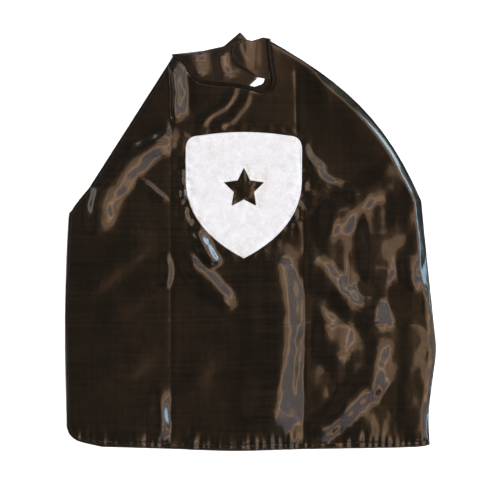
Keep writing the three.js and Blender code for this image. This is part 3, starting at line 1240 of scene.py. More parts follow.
def fibre_group() -> bpy.types.NodeTree:
    """Builds matted fibres, for felt and for the ground of the tapes.

    Returns:
        The tree.
    """
    bench, source, out = effect_group("Matted Fibres", {"Fineness": 900.0, "Clump": 60.0}, ("Height", "Tone"))
    where = source.outputs["Vector"]
    fibres = bench.add(
        "ShaderNodeTexNoise",
        {"Vector": where, "Scale": source.outputs["Fineness"],
         "Detail": 6.0, "Roughness": 0.7, "Distortion": 1.4},
    )
    clumps = bench.add(
        "ShaderNodeTexNoise",
        {"Vector": where, "Scale": source.outputs["Clump"],
         "Detail": 4.0, "Roughness": 0.6, "Distortion": 0.6},
    )
    pills = bench.add("ShaderNodeTexVoronoi", {"Vector": where, "Scale": bench.sum_up(
        "MULTIPLY", source.outputs["Fineness"], 0.35)})
    height = bench.sum_up("ADD", bench.sum_up("MULTIPLY", fibres.outputs["Fac"], 0.7),
                          bench.sum_up("MULTIPLY", pills.outputs["Distance"], 0.25))
    bench.tree.links.new(height, out.inputs["Height"])
    bench.tree.links.new(clumps.outputs["Fac"], out.inputs["Tone"])
    return bench.tree


def lint_group() -> bpy.types.NodeTree:
    """Builds sparse specks of lint, as a mask from 0 to 1.

    Returns:
        The tree.
    """
    bench, source, out = effect_group("Lint Specks", {"Density": 0.5, "Scale": 260.0}, ("Mask",))
    place = source.outputs["Vector"]
    specks = bench.add("ShaderNodeTexVoronoi", {"Vector": place, "Scale": source.outputs["Scale"]})
    where = bench.add("ShaderNodeTexNoise", {"Vector": place, "Scale": 14.0, "Detail": 2.0})
    close = bench.sum_up("LESS_THAN", specks.outputs["Distance"], 0.055)
    bare = bench.sum_up("SUBTRACT", 1.0, source.outputs["Density"])
    some = bench.sum_up("GREATER_THAN", where.outputs["Fac"], bare)
    bench.tree.links.new(bench.sum_up("MULTIPLY", close, some), out.inputs["Mask"])
    return bench.tree


@dataclass(frozen=True)
class Effects:
    """The node groups that the finishes share."""

    weave: bpy.types.NodeTree
    fibre: bpy.types.NodeTree
    lint: bpy.types.NodeTree


def start_finish(name: str) -> tuple[bpy.types.Material, NodeTree, bpy.types.Node, bpy.types.NodeSocket]:
    """Starts a material.

    Args:
        name: Its name.

    Returns:
        The material, its tree, its Principled BSDF node and its Object coordinates.
    """
    material = bpy.data.materials.new(name)
    material.use_nodes = True
    bench = NodeTree(material.node_tree)
    gloss = bench.tree.nodes["Principled BSDF"]
    return material, bench, gloss, bench.add("ShaderNodeTexCoord").outputs["Object"]


@dataclass(frozen=True)
class SatinFinish:
    """Glossy satin: dark threads, a broad warm gleam and a tighter cool one over it.

    Attributes:
        name: The material's name.
        dark: Colour of the threads where they are darkest.
        light: Colour of the threads where they are lightest.
        gleam: Tint of the broad gleam.
        specular: Strength of the broad gleam.
        roughness: How broad it is.
        coat: Strength of the tighter gleam.
        coat_roughness: How broad that one is.
        slub: How strongly the slubs show.
        bump: How strongly the threads stand up.
        lint_share: How much of the cloth may catch lint.
        lint: Colour of the lint.
    """

    name: str
    dark: tuple[float, float, float] = (0.0016, 0.0014, 0.0010)
    light: tuple[float, float, float] = (0.0100, 0.0076, 0.0046)
    gleam: tuple[float, float, float] = (1.0, 0.74, 0.44)
    specular: float = 0.17
    roughness: float = 0.30
    coat: float = 0.30
    coat_roughness: float = 0.12
    slub: float = 1.0
    bump: float = 0.6
    lint_share: float = 0.42
    lint: tuple[float, float, float] = (0.16, 0.14, 0.12)

    def build(self, effects: Effects) -> bpy.types.Material:
        """Builds the material from the effects that it shares.

        Args:
            effects: The node groups that finishes share.

        Returns:
            The material.
        """
        material, bench, gloss, where = start_finish(self.name)
        weave = bench.group(effects.weave, {"Vector": where, "Slub": self.slub})
        lint = bench.group(effects.lint, {"Vector": where, "Density": self.lint_share})
        broad = bench.add("ShaderNodeTexNoise", {"Vector": where, "Scale": 6.0, "Detail": 3.0})
        tone = bench.add(
            "ShaderNodeMix",
            {"Factor": bench.sum_up("MULTIPLY", weave.outputs["Tone"], broad.outputs["Fac"]),
             6: (*self.dark, 1), 7: (*self.light, 1)},
            data_type="RGBA",
        )
        specked = bench.add(
            "ShaderNodeMix",
            {"Factor": bench.sum_up("MULTIPLY", lint.outputs["Mask"], 0.35),
             6: tone.outputs[2], 7: (*self.lint, 1)},
            data_type="RGBA",
        )
        bench.tree.links.new(specked.outputs[2], gloss.inputs["Base Color"])
        rough = bench.add(
            "ShaderNodeMapRange",
            {"Value": broad.outputs["Fac"], "To Min": self.roughness - 0.05, "To Max": self.roughness + 0.06},
        )
        bench.tree.links.new(rough.outputs[0], gloss.inputs["Roughness"])
        bump = bench.add(
            "ShaderNodeBump",
            {"Height": weave.outputs["Height"], "Strength": self.bump, "Distance": 0.5 * MM},
        )
        bench.tree.links.new(bump.outputs[0], gloss.inputs["Normal"])
        gloss.inputs["Specular IOR Level"].default_value = self.specular
        gloss.inputs["Specular Tint"].default_value = (*self.gleam, 1)
        gloss.inputs["Coat Weight"].default_value = self.coat
        gloss.inputs["Coat Roughness"].default_value = self.coat_roughness
        gloss.inputs["Coat IOR"].default_value = 1.5
        return material


@dataclass(frozen=True)
class FibreFinish:
    """A matt finish of matted or twisted fibres, for felt, thread and tape.

    Attributes:
        name: The material's name.
        light: Colour of the fibres where they are lightest.
        dark: Colour of the fibres where they are darkest.
        fineness: Scale of the fibres.
        clump: Scale of the clumps that they lie in.
        roughness: How matt it is.
        bump: How strongly the fibres stand up.
        depth: How far they do.
        fuzz: How much sheen the loose fibres give.
    """

    name: str
    light: tuple[float, float, float]
    dark: tuple[float, float, float]
    fineness: float = 900.0
    clump: float = 60.0
    roughness: float = 0.92
    bump: float = 0.6
    depth: float = 0.5 * MM
    fuzz: float = 0.3

    def build(self, effects: Effects) -> bpy.types.Material:
        """Builds the material from the effects that it shares.

        Args:
            effects: The node groups that finishes share.

        Returns:
            The material.
        """
        material, bench, gloss, where = start_finish(self.name)
        fibre = bench.group(
            effects.fibre, {"Vector": where, "Fineness": self.fineness, "Clump": self.clump}
        )
        both = bench.sum_up("ADD", fibre.outputs["Tone"], fibre.outputs["Height"])
        spread = bench.add(
            "ShaderNodeMapRange",
            {"Value": bench.sum_up("MULTIPLY", both, 0.5), "From Min": 0.3, "From Max": 0.66},
        )
        tone = bench.add(
            "ShaderNodeMix",
            {"Factor": spread.outputs[0], 6: (*self.dark, 1), 7: (*self.light, 1)},
            data_type="RGBA",
        )
        bench.tree.links.new(tone.outputs[2], gloss.inputs["Base Color"])
        rough = bench.add(
            "ShaderNodeMapRange",
            {"Value": fibre.outputs["Tone"],
             "To Min": self.roughness - 0.06, "To Max": self.roughness + 0.05},
        )
        bench.tree.links.new(rough.outputs[0], gloss.inputs["Roughness"])
        bump = bench.add(
            "ShaderNodeBump",
            {"Height": fibre.outputs["Height"], "Strength": self.bump, "Distance": self.depth},
        )
        bench.tree.links.new(bump.outputs[0], gloss.inputs["Normal"])
        gloss.inputs["Specular IOR Level"].default_value = 0.25
        gloss.inputs["Sheen Weight"].default_value = self.fuzz
        gloss.inputs["Sheen Roughness"].default_value = 0.5
        return material


@dataclass
class Wardrobe:
    """Every finish that the cape needs, each built once."""

    effects: Effects = field(init=False)
    satin: bpy.types.Material = field(init=False)
    # The duller copy of the outer satin, used for painted shade on the neck roll.
    gathered: bpy.types.Material = field(init=False)
    lining: bpy.types.Material = field(init=False)
    felt: bpy.types.Material = field(init=False)
    light_thread: bpy.types.Material = field(init=False)
    dark_thread: bpy.types.Material = field(init=False)
    loop_tape: bpy.types.Material = field(init=False)
    hook_tape: bpy.types.Material = field(init=False)

    def __post_init__(self) -> None:
        """Builds the finishes."""
        self.effects = Effects(weave_group(), fibre_group(), lint_group())
        self.satin = SatinFinish("outer_satin").build(self.effects)
        # A duller copy of the outer satin, with weaker gloss and no coat: on the neck roll it is painted
        # shade, so that the roll reads as the dark shade line along the neck edge.
        gathered = SatinFinish("shade_dulled_satin", specular=0.10, roughness=0.46, coat=0.0)
        self.gathered = gathered.build(self.effects)
        self.lining = SatinFinish(
            "lining_satin", dark=(0.0056, 0.0040, 0.0028), light=(0.016, 0.0110, 0.0074), slub=1.3
        ).build(self.effects)
        self.felt = FibreFinish("white_felt", (0.56, 0.55, 0.535), (0.42, 0.395, 0.355)).build(self.effects)
        self.light_thread = FibreFinish(
            "light_thread", (0.80, 0.77, 0.70), (0.60, 0.56, 0.49), 2600, 300, 0.7, 0.5, 0.15 * MM
        ).build(self.effects)
        self.dark_thread = FibreFinish(
            "dark_thread", (0.035, 0.027, 0.021), (0.012, 0.009, 0.007), 2600, 300, 0.55, 0.5, 0.15 * MM, 0.1
        ).build(self.effects)
        self.loop_tape = FibreFinish(
            "loop_tape", (0.030, 0.028, 0.027), (0.008, 0.0075, 0.007), 1800, 120, 0.8, 0.8, 0.3 * MM, 0.4
        ).build(self.effects)
        self.hook_tape = FibreFinish(
            "hook_tape", (0.028, 0.027, 0.027), (0.010, 0.0095, 0.009), 2200, 200, 0.45, 0.4, 0.2 * MM, 0.05
        ).build(self.effects)


# ---------------------------------------------------------------- the cape's own pieces


@dataclass
class Workroom:
    """What every sub-assembly needs: the finishes, the way the cloth lies, and the trees that sew."""

    wardrobe: Wardrobe
    lie: Lie
    stitches: bpy.types.NodeTree
    pile: bpy.types.NodeTree

    def sew(
        self, name: str, path: Line, heights: Line, finish: bpy.types.Material, **sizes: float
    ) -> bpy.types.Object:
        """Sews a run of stitches along a line on a surface.

        Args:
            name: The piece's name.
            path: The (x, y) line.
            heights: The height of the stitches' middles along it.
            finish: The thread.
            sizes: Values for the stitch tree, with underscores for spaces.

        Returns:
            The stitches, as one mesh.
        """
        line = thread_line(name + "_line", np.column_stack([path, heights]))
        named = {key.replace("_", " ").title(): value for key, value in sizes.items()}
        return grow(name, line, self.stitches, finish, named)


@dataclass
class Panels:
    """The outer satin, the lining and the turned hem of the three panels, and the thread along their edges.

    Attributes:
        room: What the pieces are made with.
        zone_left: Half the width of the strip at the left pressed fold, in squares of the satin.
        zone_right: The same at the right pressed fold.
        squares_between: Squares of the satin between the two pressed folds.
        satin: Thickness of one sheet.
        hem_floor: Height of the hem's underside.
        thread_rise: How far the middle of the thread is above what it is sewn to.
        pitch: Size of the satin's squares.
    """

    room: Workroom
    zone_left: int = 4
    zone_right: int = 7
    squares_between: int = 101
    satin: float = 0.35
    hem_floor: float = 0.05
    thread_rise: float = 0.12
    pitch: float = field(init=False)

    def __post_init__(self) -> None:
        """Works out the size of the satin's squares, so that the pressed folds fall on their edges."""
        lie = self.room.lie
        self.pitch = (lie.right_fold - lie.left_fold) / self.squares_between

    def build(self) -> None:
        """Builds every piece of the panels."""
        lie = self.room.lie
        wardrobe = self.room.wardrobe
        self.sheets("outer_satin", self.pitch, lie.satin, wardrobe.satin, Slot.OUTER_SATIN, rests=True)
        self.sheets("lining", self.pitch * 2, lie.lining, wardrobe.lining, Slot.LINING_SATIN, rests=False)
        self.hems()
        self.threads()

    def lay_out(self, node: str, pitch: float) -> Plan:
        """Lays out the squares of all three panels of a node, ruled so that the strips at the pressed folds
        end on them.

        Args:
            node: The start of its CAD nodes' names.
            pitch: Size of its squares.

        Returns:
            The plan.
        """
        loops = panel_loops(node)
        anchor = self.room.lie.left_fold + self.zone_left * self.pitch
        return Plan(loops, pitch, anchor, self.room.lie.off_folds(Edge(*segments_of(loops))))

    def carry(self, piece: bpy.types.Object, side: Side) -> None:
        """Attaches a piece of the centre panel to that panel's body, or bakes the transform of a piece of a
        side panel into its mesh.

        Args:
            piece: The piece.
            side: Its panel.
        """
        if side is Side.CENTRE:
            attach(piece, Body.CENTRE.value)
            return
        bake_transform(piece)

    def divided(self, plan: Plan) -> dict[Side, Part]:
        """Divides a plan where the strips at the pressed folds meet the centre panel.

        Args:
            plan: The squares of all three panels.

        Returns:
            Each panel's squares.
        """
        lie = self.room.lie
        middles = plan.middles()[:, 0]
        low = lie.left_fold + self.zone_left * self.pitch
        high = lie.right_fold - self.zone_right * self.pitch
        return {
            Side.LEFT: plan.part(middles < low),
            Side.CENTRE: plan.part((middles >= low) & (middles <= high)),
            Side.RIGHT: plan.part(middles > high),
        }

    def sheets(
        self, node: str, pitch: float, height: Height, finish: bpy.types.Material, slot: Slot, rests: bool
    ) -> None:
        """Makes one sheet of the cape, in three parts divided at the pressed folds.

        Args:
            node: The start of its CAD nodes' names.
            pitch: Size of its squares.
            height: The function that gives its upper side's height.
            finish: Its material.
            slot: The record's material slot; not used.
            rests: Whether it rests on the lining; not used.
        """
        plan = self.lay_out(node, pitch)
        top = height(plan.points[:, 0], plan.points[:, 1])
        normals = plan.normals(top)
        for side, part in self.divided(plan).items():
            piece = shell(
                f"{node}_{side.value}_cloth", part, top[part.used], top[part.used] - self.satin, finish,
                normals[part.used],
            )
            enter(piece, f"{node}_{side.value}")
            part.flat()
            part.area()
            self.carry(piece, side)

    def hems(self) -> None:
        """Makes the turned hem along the foot, in three parts."""
        plan = self.lay_out("hem", self.pitch / 2)
        top = self.room.lie.hem(plan.points[:, 0], plan.points[:, 1])
        normals = plan.normals(top)
        for side, part in self.divided(plan).items():
            floor = np.full(len(part.used), self.hem_floor)
            piece = shell(
                f"hem_{side.value}_fold", part, top[part.used], floor, self.room.wardrobe.satin,
                normals[part.used],
            )
            enter(piece, f"hem_{side.value}")
            self.carry(piece, side)

    def surface(self, path: Line) -> Line:
        """Gives the height of whichever face a run of thread lies on, the satin's or the hem's."""
        lie = self.room.lie
        x, y = path.T
        return np.where(inside_loops(panel_loops("hem"), x, y), lie.hem(x, y), lie.satin(x, y))

    def threads(self) -> None:
        """Sews the runs of dark thread along the cape's edge."""
        runs = {
            "edge_stitching_left": Side.LEFT,
            "edge_stitching_right": Side.RIGHT,
            "hem_stitching_centre": Side.CENTRE,
            "neck_stitching": Side.CENTRE,
        }
        for node, side in runs.items():
            path = middle_of_strip(plan_loops(node)[0])
            heights = self.surface(path) + self.thread_rise
            piece = self.room.sew(
                node.replace("stitching", "thread"), path, heights, self.room.wardrobe.dark_thread
            )
            enter(piece, node)
            self.carry(piece, side)


@dataclass
class NeckEdge:
    """The turned edge round the neck, a soft roll with a narrow seam allowance below it.

    Attributes:
        room: What it is made with.
        half_width: Half the roll's width.
        top: Height of the roll's top.
        under: Height of its underside, where it lies on the lining.
        over_strap: Height of its underside over the right strap's root.
        allowance: How far the seam allowance shows beyond the neck edge.
        gathered: How much further it shows at the right shoulder, where it gathers.
        pitch: Spacing of the roll's rings.
        sides: Points round each ring.
        swell: How much its top rises and falls.
        lying: Height of the seam allowance.
        cloth: Thickness of the seam allowance.
    """

    room: Workroom
    half_width: float = 2.5
    top: float = 5.8
    under: float = 0.5
    over_strap: float = 3.3
    allowance: float = 6.0
    gathered: float = 10.0
    pitch: float = 1.6
    sides: int = 12
    swell: float = 0.9
    lying: float = 0.26
    cloth: float = 0.18

    def build(self) -> None:
        """Builds the roll."""
        path = evenly(middle_of_strip(plan_loops("neck_edge_roll")[0]), self.pitch)
        along = np.gradient(path, axis=0)
        along /= np.linalg.norm(along, axis=1)[:, None]
        side = np.column_stack([-along[:, 1], along[:, 0]])
        wobble = Ripples(21, 11).at(np.arange(len(path)) * self.pitch, np.zeros(len(path)))
        top = self.top + self.swell * wobble
        strap = ease((path[:, 0] - 24) / 4) * ease((path[:, 1] - 300) / 8)
        under = self.under + (self.over_strap - self.under) * strap
        turns = np.linspace(0, math.tau, self.sides, endpoint=False)
        middle = (top + under) / 2
        half = (top - under) / 2
        rings = np.empty((len(path), self.sides, 3))
        for k, turn in enumerate(turns):
            across = math.cos(turn) * (self.half_width + 0.25 * wobble)
            rings[:, k, :2] = path + side * across[:, None]
            rings[:, k, 2] = middle + half * math.sin(turn)
        # The roll takes the duller satin copy, whose weaker gloss paints shade along the neck edge.
        piece = tube("neck_edge_roll_cloth", rings, self.room.wardrobe.gathered)
        enter(piece, "neck_edge_roll")
        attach(piece, Body.CENTRE.value)
        self.seam_allowance(path, side)

    def seam_allowance(self, path: Line, side: Line) -> None:
        """Builds the flat seam allowance that shows inside the neck edge.

        Args:
            path: Middle line of the neck edge.
            side: The way across it at each of its points.
        """
        inwards = side * np.sign(side[len(path) // 2, 1])
        plan = Plan([path + inwards * 0.8], 1.2)
        middle = plan.middles()
        far = Edge(path[:-1], path[1:]).distance(*middle.T)
        part = plan.part(far < self.allowance + self.gathered * ease((middle[:, 0] - 4) / 22))
        level = np.full(len(part.points), self.lying)
        piece = shell("neck_seam_allowance_cloth", part, level, level - self.cloth, self.room.wardrobe.satin)
        enter(piece)
        part.area()
        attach(piece, Body.CENTRE.value)


@dataclass
class Emblem:
    """The felt shield with a star cut out of it, and the light thread round both.

    Attributes:
        room: What it is made with.
        felt: Thickness of the felt.
        rounding: How far in from its edges the felt's face rounds off.
        groove: How far the thread pulls the felt down.
        inset: How far in from the edge it is sewn.
        pitch: Size of the felt's squares.
        gap: How far the felt lies above the satin.
        thread_rise: How far the middle of the thread is above the felt.
        stitch: The thread's pitch, stitch length, width and height.
    """

    room: Workroom
    felt: float = 1.8
    rounding: float = 1.6
    groove: float = 0.75
    inset: float = 4.0
    pitch: float = 1.5
    gap: float = 0.15
    thread_rise: float = 0.18
    stitch: tuple[float, float, float, float] = (3.0, 2.5, 0.75, 0.55)

    def face(self, x: Line, y: Line) -> Line:
        """Gives the height of the felt's face.

        Args:
            x: Places across the cape.
            y: Places along it.

        Returns:
            A height for each place.
        """
        lie = self.room.lie
        edge = lie.felt_edge.distance(x, y)
        share = np.clip(edge / self.rounding, 0, 1)
        round_off = 0.45 + 0.55 * rounded(share)
        loft = 0.10 * Ripples(31, 5).at(x, y) + 0.16 * Ripples(32, 14).at(x, y)
        pull = self.groove * np.exp(-(((edge - self.inset) / 1.1) ** 2))
        return self.bed(x, y) + self.felt * round_off + loft * share - pull

    def bed(self, x: Line, y: Line) -> Line:
        """Gives the height of the felt's underside, which lies on the satin."""
        return self.room.lie.satin(x, y) + self.gap

    def build(self) -> None:
        """Builds the felt and its two runs of thread."""
        loops = plan_loops("emblem_felt")
        plan = Plan(loops, self.pitch, float(loops[0][:, 0].mean()))
        x, y = plan.points.T
        part = plan.part(np.arange(len(plan.squares)))
        piece = shell("emblem_felt_shield", part, self.face(x, y), self.bed(x, y), self.room.wardrobe.felt)
        enter(piece, "emblem_felt")
        part.flat()
        part.area()
        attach(piece, Body.CENTRE.value)
        pitch, length, width, height = (size * MM for size in self.stitch)
        for node in ("emblem_edge_stitching", "star_stitching"):
            outer, inner = widest_loops(node)[:2]
            path = middle_of_ring(outer, inner, 1.0)
            thread = self.room.sew(
                node.replace("stitching", "thread"), path, self.face(*path.T) + self.thread_rise,
                self.room.wardrobe.light_thread, pitch=pitch, stitch_length=length,
                thread_width=width, thread_height=height,
            )
            enter(thread, node)
            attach(thread, Body.CENTRE.value)


@dataclass
class Straps:
    """The two neck straps, each of satin and lining, and the tapes that close them.

    Attributes:
        room: What they are made with.
        sheet: Thickness of one sheet.
        pitch: Size of their squares.
        left_tuck: How far the left strap's root runs in under the shoulder.
        right_tuck: How far the right strap's does.
        left_bend: Length of the left strap past its root, passed on as its bend, which is not made.
        right_bend: The same for the right strap.
        low: Height of the left strap's lower sheet at its edge.
        lying: Height of its upper sheet where nothing lifts it.
        crossing: Height of the right strap where it crosses the left one.
        over_tape: How much higher it is over the tape.
        rooted: Its height at its root.
    """

    room: Workroom
    sheet: float = 0.35
    pitch: float = 1.8
    left_tuck: float = 13.0
    right_tuck: float = 9.0
    left_bend: float = 20.0
    right_bend: float = 10.0
    low: float = 0.62
    lying: float = 2.0
    crossing: float = 4.3
    over_tape: float = 1.45
    rooted: float = 1.9

    def build(self) -> None:
        """Builds both straps and both tapes."""
        wardrobe = self.room.wardrobe
        self.left()
        self.right()
        Tape(self.room, "loop_patch", Body.LEFT_STRAP, 1, wardrobe.loop_tape, Slot.LOOP_TAPE,
             spacing=0.85, bend=5.4, disorder=1.0).build()
        Tape(self.room, "hook_patch", Body.RIGHT_STRAP, -1, wardrobe.hook_tape, Slot.HOOK_TAPE,
             spacing=1.1, bend=4.3, disorder=0.12).build()

    def clear_of(self, node: str, x: Line, y: Line) -> Line:
        """Gives the distance from each place to a piece of tape, which is 0 on it."""
        patch = plan_loops(node)[:1]
        return np.where(inside_loops(patch, x, y), 0, Edge(*segments_of(patch)).distance(x, y))

    def sheets(self, side: Side, body: Body, part: Part, heights: tuple[Line, Line], bend: tuple) -> None:
        """Makes a strap's two sheets.

        Args:
            side: Which strap it is.
            body: The body that its free end moves with; not used.
            part: Its squares.
            heights: Heights of its satin and of its lining at each point.
            bend: Where the bending starts and ends, in metres; not used.
        """
        wardrobe = self.room.wardrobe
        for kind, height, finish, slot in (
            ("satin", heights[0], wardrobe.satin, Slot.OUTER_SATIN),
            ("lining", heights[1], wardrobe.lining, Slot.LINING_SATIN),
        ):
            piece = shell(f"strap_{kind}_{side.value}_cloth", part, height, height - self.sheet, finish)
            enter(piece, f"strap_{kind}_{side.value}")
            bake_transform(piece)

    def root_frame(self) -> tuple[Line, Line]:
        """Gives the left strap's root line: a point on it, and the way across it towards the strap's end.

        Returns:
            The point in millimetres, and a unit vector.
        """
        joint = next(j for j in frame["joints"] if j["name"] == "left_strap_lift")
        place = np.array(joint["pos_m"][:2]) / MM
        axis = np.array(joint["axis"][:2], float)
        across = np.array([-axis[1], axis[0]])
        return place, across / np.linalg.norm(across) * np.sign(-axis[1])

    def left_plan(self) -> Plan:
        """Lays out the left strap, with its root run in under the shoulder.

        Returns:
            Its squares.
        """
        loop = plan_loops("strap_satin_left")[0].copy()
        place, across = self.root_frame()
        far = (loop - place) @ across
        rooted = np.abs(far) < 1.5
        loop[rooted] -= across * self.left_tuck
        return Plan([loop], self.pitch)

    def left_heights(self, x: Line, y: Line, edge: Edge) -> tuple[Line, Line]:
        """Gives the heights of the left strap's two sheets: the satin below and the lining on top.

        Args:
            x: Places across the cape.
            y: Places along it.
            edge: The strap's edge.

        Returns:
            Heights of the satin and of the lining.
        """
        free = ease(self.clear_of("loop_patch", x, y) / 26)
        folds = (
            Fold(((-146, 366), (-128, 357), (-104, 353), (-84, 352)), 2.6, 9, 14, 16),
            Fold(((-122, 368), (-114, 340), (-108, 308)), 4.2, 46, 14, 14),
            Fold(((-62, 362), (-56, 336), (-50, 304)), 3.6, 42, 16, 14),
            Fold(((-30, 392), (-20, 384), (-8, 382)), 1.4, 5, 6, 6),
        )
        lift = sum(fold.rise(x, y) for fold in folds)
        lift = lift + 0.4 * self.room.lie.swells.at(x, y) + 0.12 * self.room.lie.wrinkles.at(x, y)
        neck = self.room.lie.neck_line.distance(x, y)
        room_for_neck = ease((neck - 1) / 9)
        far = edge.distance(x, y)
        full = self.lying + np.maximum(lift, -0.4) * free * (0.25 + 0.75 * room_for_neck)
        top = 1.35 + (full - 1.35) * rounded(far / 5)
        below = self.low + 0.12 * (top - 1.35)
        return below, top

    def left(self) -> None:
        """Builds the left strap's two sheets."""
        plan = self.left_plan()
        heights = self.left_heights(*plan.points.T, Edge(*segments_of(plan.loops)))
        place, across = self.root_frame()
        start = (*((place - across * 2) * MM), 0)
        end = (*((place + across * self.left_bend) * MM), 0)
        whole = plan.part(np.arange(len(plan.squares)))
        self.sheets(Side.LEFT, Body.LEFT_STRAP, whole, heights, (start, end))

    def right_heights(self, x: Line, y: Line, edge: Edge) -> tuple[Line, Line]:
        """Gives the heights of the right strap's two sheets, which pass over the left strap and its tape.

        Args:
            x: Places across the cape.
            y: Places along it.
            edge: The strap's edge.

        Returns:
            Heights of the satin and of the lining.
        """
        over = 1 - ease((self.clear_of("hook_patch", x, y) - 1) / 22)
        sag = self.crossing + self.over_tape * over
        root = ease((x + 14) / 43)
        below = sag + (self.rooted - sag) * root
        folds = (
            Fold(((-24, 384), (-20, 360), (-8, 338)), 0.9, 10, 12, 14),
            Fold(((16, 386), (14, 350), (16, 320)), 0.4, 10, 10, 14),
        )
        lift = sum(fold.rise(x, y) for fold in folds) * (1 - 0.85 * root)
        lift = lift + 0.35 * self.room.lie.wrinkles.at(x * 1.5, y) * (1 - root) * 0.6
        far = edge.distance(x, y)
        top = below + self.sheet + 0.15 + (np.maximum(lift, 0) + 0.25 * (1 - root)) * rounded(far / 4.5)
        return below, top

    def right(self) -> None:
        """Builds the right strap's two sheets."""
        loop = plan_loops("strap_satin_right")[0].copy()
        rooted = loop[:, 0] > loop[:, 0].max() - 1
        loop[rooted, 0] += self.right_tuck
        plan = Plan([loop], self.pitch)
        heights = self.right_heights(*plan.points.T, Edge(*segments_of(plan.loops)))
        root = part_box("strap_satin_right")[1].x
        bend = ((root, 0, 0), (root - self.right_bend * MM, 0, 0))
        whole = plan.part(np.arange(len(plan.squares)))
        self.sheets(Side.RIGHT, Body.RIGHT_STRAP, whole, heights, bend)


@dataclass
class Tape:
    """A piece of hook or loop tape: its ground, its pile and the thread round it.

    Attributes:
        room: What it is made with.
        node: Its CAD node's name.
        body: The strap that it is sewn to.
        outwards: 1 where its pile looks up, or -1 where it looks down.
        finish: Its material.
        slot: Its material slot; not used.
        spacing: The least gap between two wires of the pile.
        bend: How far round each wire bends, in radians.
        disorder: How much the wires lean about.
        seat: Thickness of the ground.
        rounding: How far in from its edges the ground rounds off.
        margin: How far in from its edges the pile starts.
        pitch: Size of its squares.
        stitch: The thread's pitch and stitch length.
    """

    room: Workroom
    node: str
    body: Body
    outwards: int
    finish: bpy.types.Material
    slot: Slot
    spacing: float
    bend: float
    disorder: float
    seat: float = 0.45
    rounding: float = 1.2
    margin: float = 1.5
    pitch: float = 1.0
    stitch: tuple[float, float] = (2.4, 2.0)

    def build(self) -> None:
        """Builds the tape, with its pile and its thread."""
        low, high = (corner.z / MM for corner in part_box(self.node))
        loop = widest_loops(self.node)[0]
        plan = Plan([loop], self.pitch, float(loop[:, 0].min()))
        x, y = plan.points.T
        edge = Edge(*segments_of([loop])).distance(x, y)
        thickness = self.seat * (0.4 + 0.6 * rounded(edge / self.rounding))
        unevenness = Ripples(41, 3).at(x, y) * 0.06
        if self.outwards > 0:
            bottom = np.full(len(x), low)
            top = low + thickness + unevenness
            seam = low + self.seat + 0.15
        else:
            top = np.full(len(x), high)
            bottom = high - thickness + unevenness
            seam = high - self.seat - 0.15
        part = plan.part(np.arange(len(plan.squares)))
        base = shell(f"{self.node}_ground", part, top, bottom, self.finish)
        face = shell(f"{self.node}_face", part, top, bottom, self.finish)
        keep_face(face, self.outwards, self.margin)
        height = (high - low) - self.seat - 0.1
        pile = grow(
            f"{self.node}_pile", face, self.room.pile, self.finish,
            {"Spacing": self.spacing * MM, "Height": height * MM,
             "Bend": self.bend, "Disorder": self.disorder},
        )
        pile.data.transform(Matrix.Translation((0, 0, self.outwards * height * MM * 0.32)))
        enter(base, self.node)
        enter(pile)
        outer, inner = widest_loops(f"{self.node}_stitching")[:2]
        path = middle_of_ring(outer, inner, 1.0)
        thread = self.room.sew(
            f"{self.node}_thread", path, np.full(len(path), seam), self.room.wardrobe.dark_thread,
            pitch=self.stitch[0] * MM, stitch_length=self.stitch[1] * MM,
        )
        enter(thread, f"{self.node}_stitching")
        for piece in (base, pile, thread):
            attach(piece, self.body.value)


def keep_face(thing: bpy.types.Object, outwards: int, inset: float) -> None:
    """Cuts a shell down to the faces that look one way, a little in from their edge.

    Args:
        thing: The shell.
        outwards: 1 to keep the faces that look up, or -1 for those that look down.
        inset: How far in from the edge to start, in millimetres.
    """
    work = bmesh.new()
    work.from_mesh(thing.data)
    xs = [v.co.x for v in work.verts]
    ys = [v.co.y for v in work.verts]
    low = (min(xs) + inset * MM, min(ys) + inset * MM)
    high = (max(xs) - inset * MM, max(ys) - inset * MM)
    lost = []
    for face in work.faces:
        middle = face.calc_center_median()
        within = low[0] < middle.x < high[0] and low[1] < middle.y < high[1]
        if face.normal.z * outwards < 0.5 or not within:
            lost.append(face)
    bmesh.ops.delete(work, geom=lost, context="FACES")
    work.to_mesh(thing.data)
    work.free()


# ---------------------------------------------------------------- the studio


@dataclass(frozen=True)
class Lamp:
    """A soft rectangular light that looks at the middle of the cape.

    Attributes:
        name: Its name.
        turn: Which way it is from the cape, in degrees from +X.
        lean: How far it is from straight above, in degrees.
        size: Its width up and down, and its length along the horizon.
        power: Its power in watts.
        colour: Its colour.
        distance: How far it is from the cape.
    """

    name: str
    turn: float
    lean: float
    size: tuple[float, float]
    power: float
    colour: tuple[float, float, float]
    distance: float = 9.1

    def build(self) -> None:
        """Hangs the light."""
        light = bpy.data.lights.new(self.name, "AREA")
        light.shape = "RECTANGLE"
        light.size, light.size_y = self.size
        light.energy = self.power
        light.color = self.colour
        turn, lean = math.radians(self.turn), math.radians(self.lean)
        back = Vector((math.sin(lean) * math.cos(turn), math.sin(lean) * math.sin(turn), math.cos(lean)))
        along = Vector((-math.sin(turn), math.cos(turn), 0))
        stance = Matrix((along.cross(back), along, back)).transposed().to_4x4()
        stance.translation = back * self.distance
        hang(self.name, light).matrix_world = stance


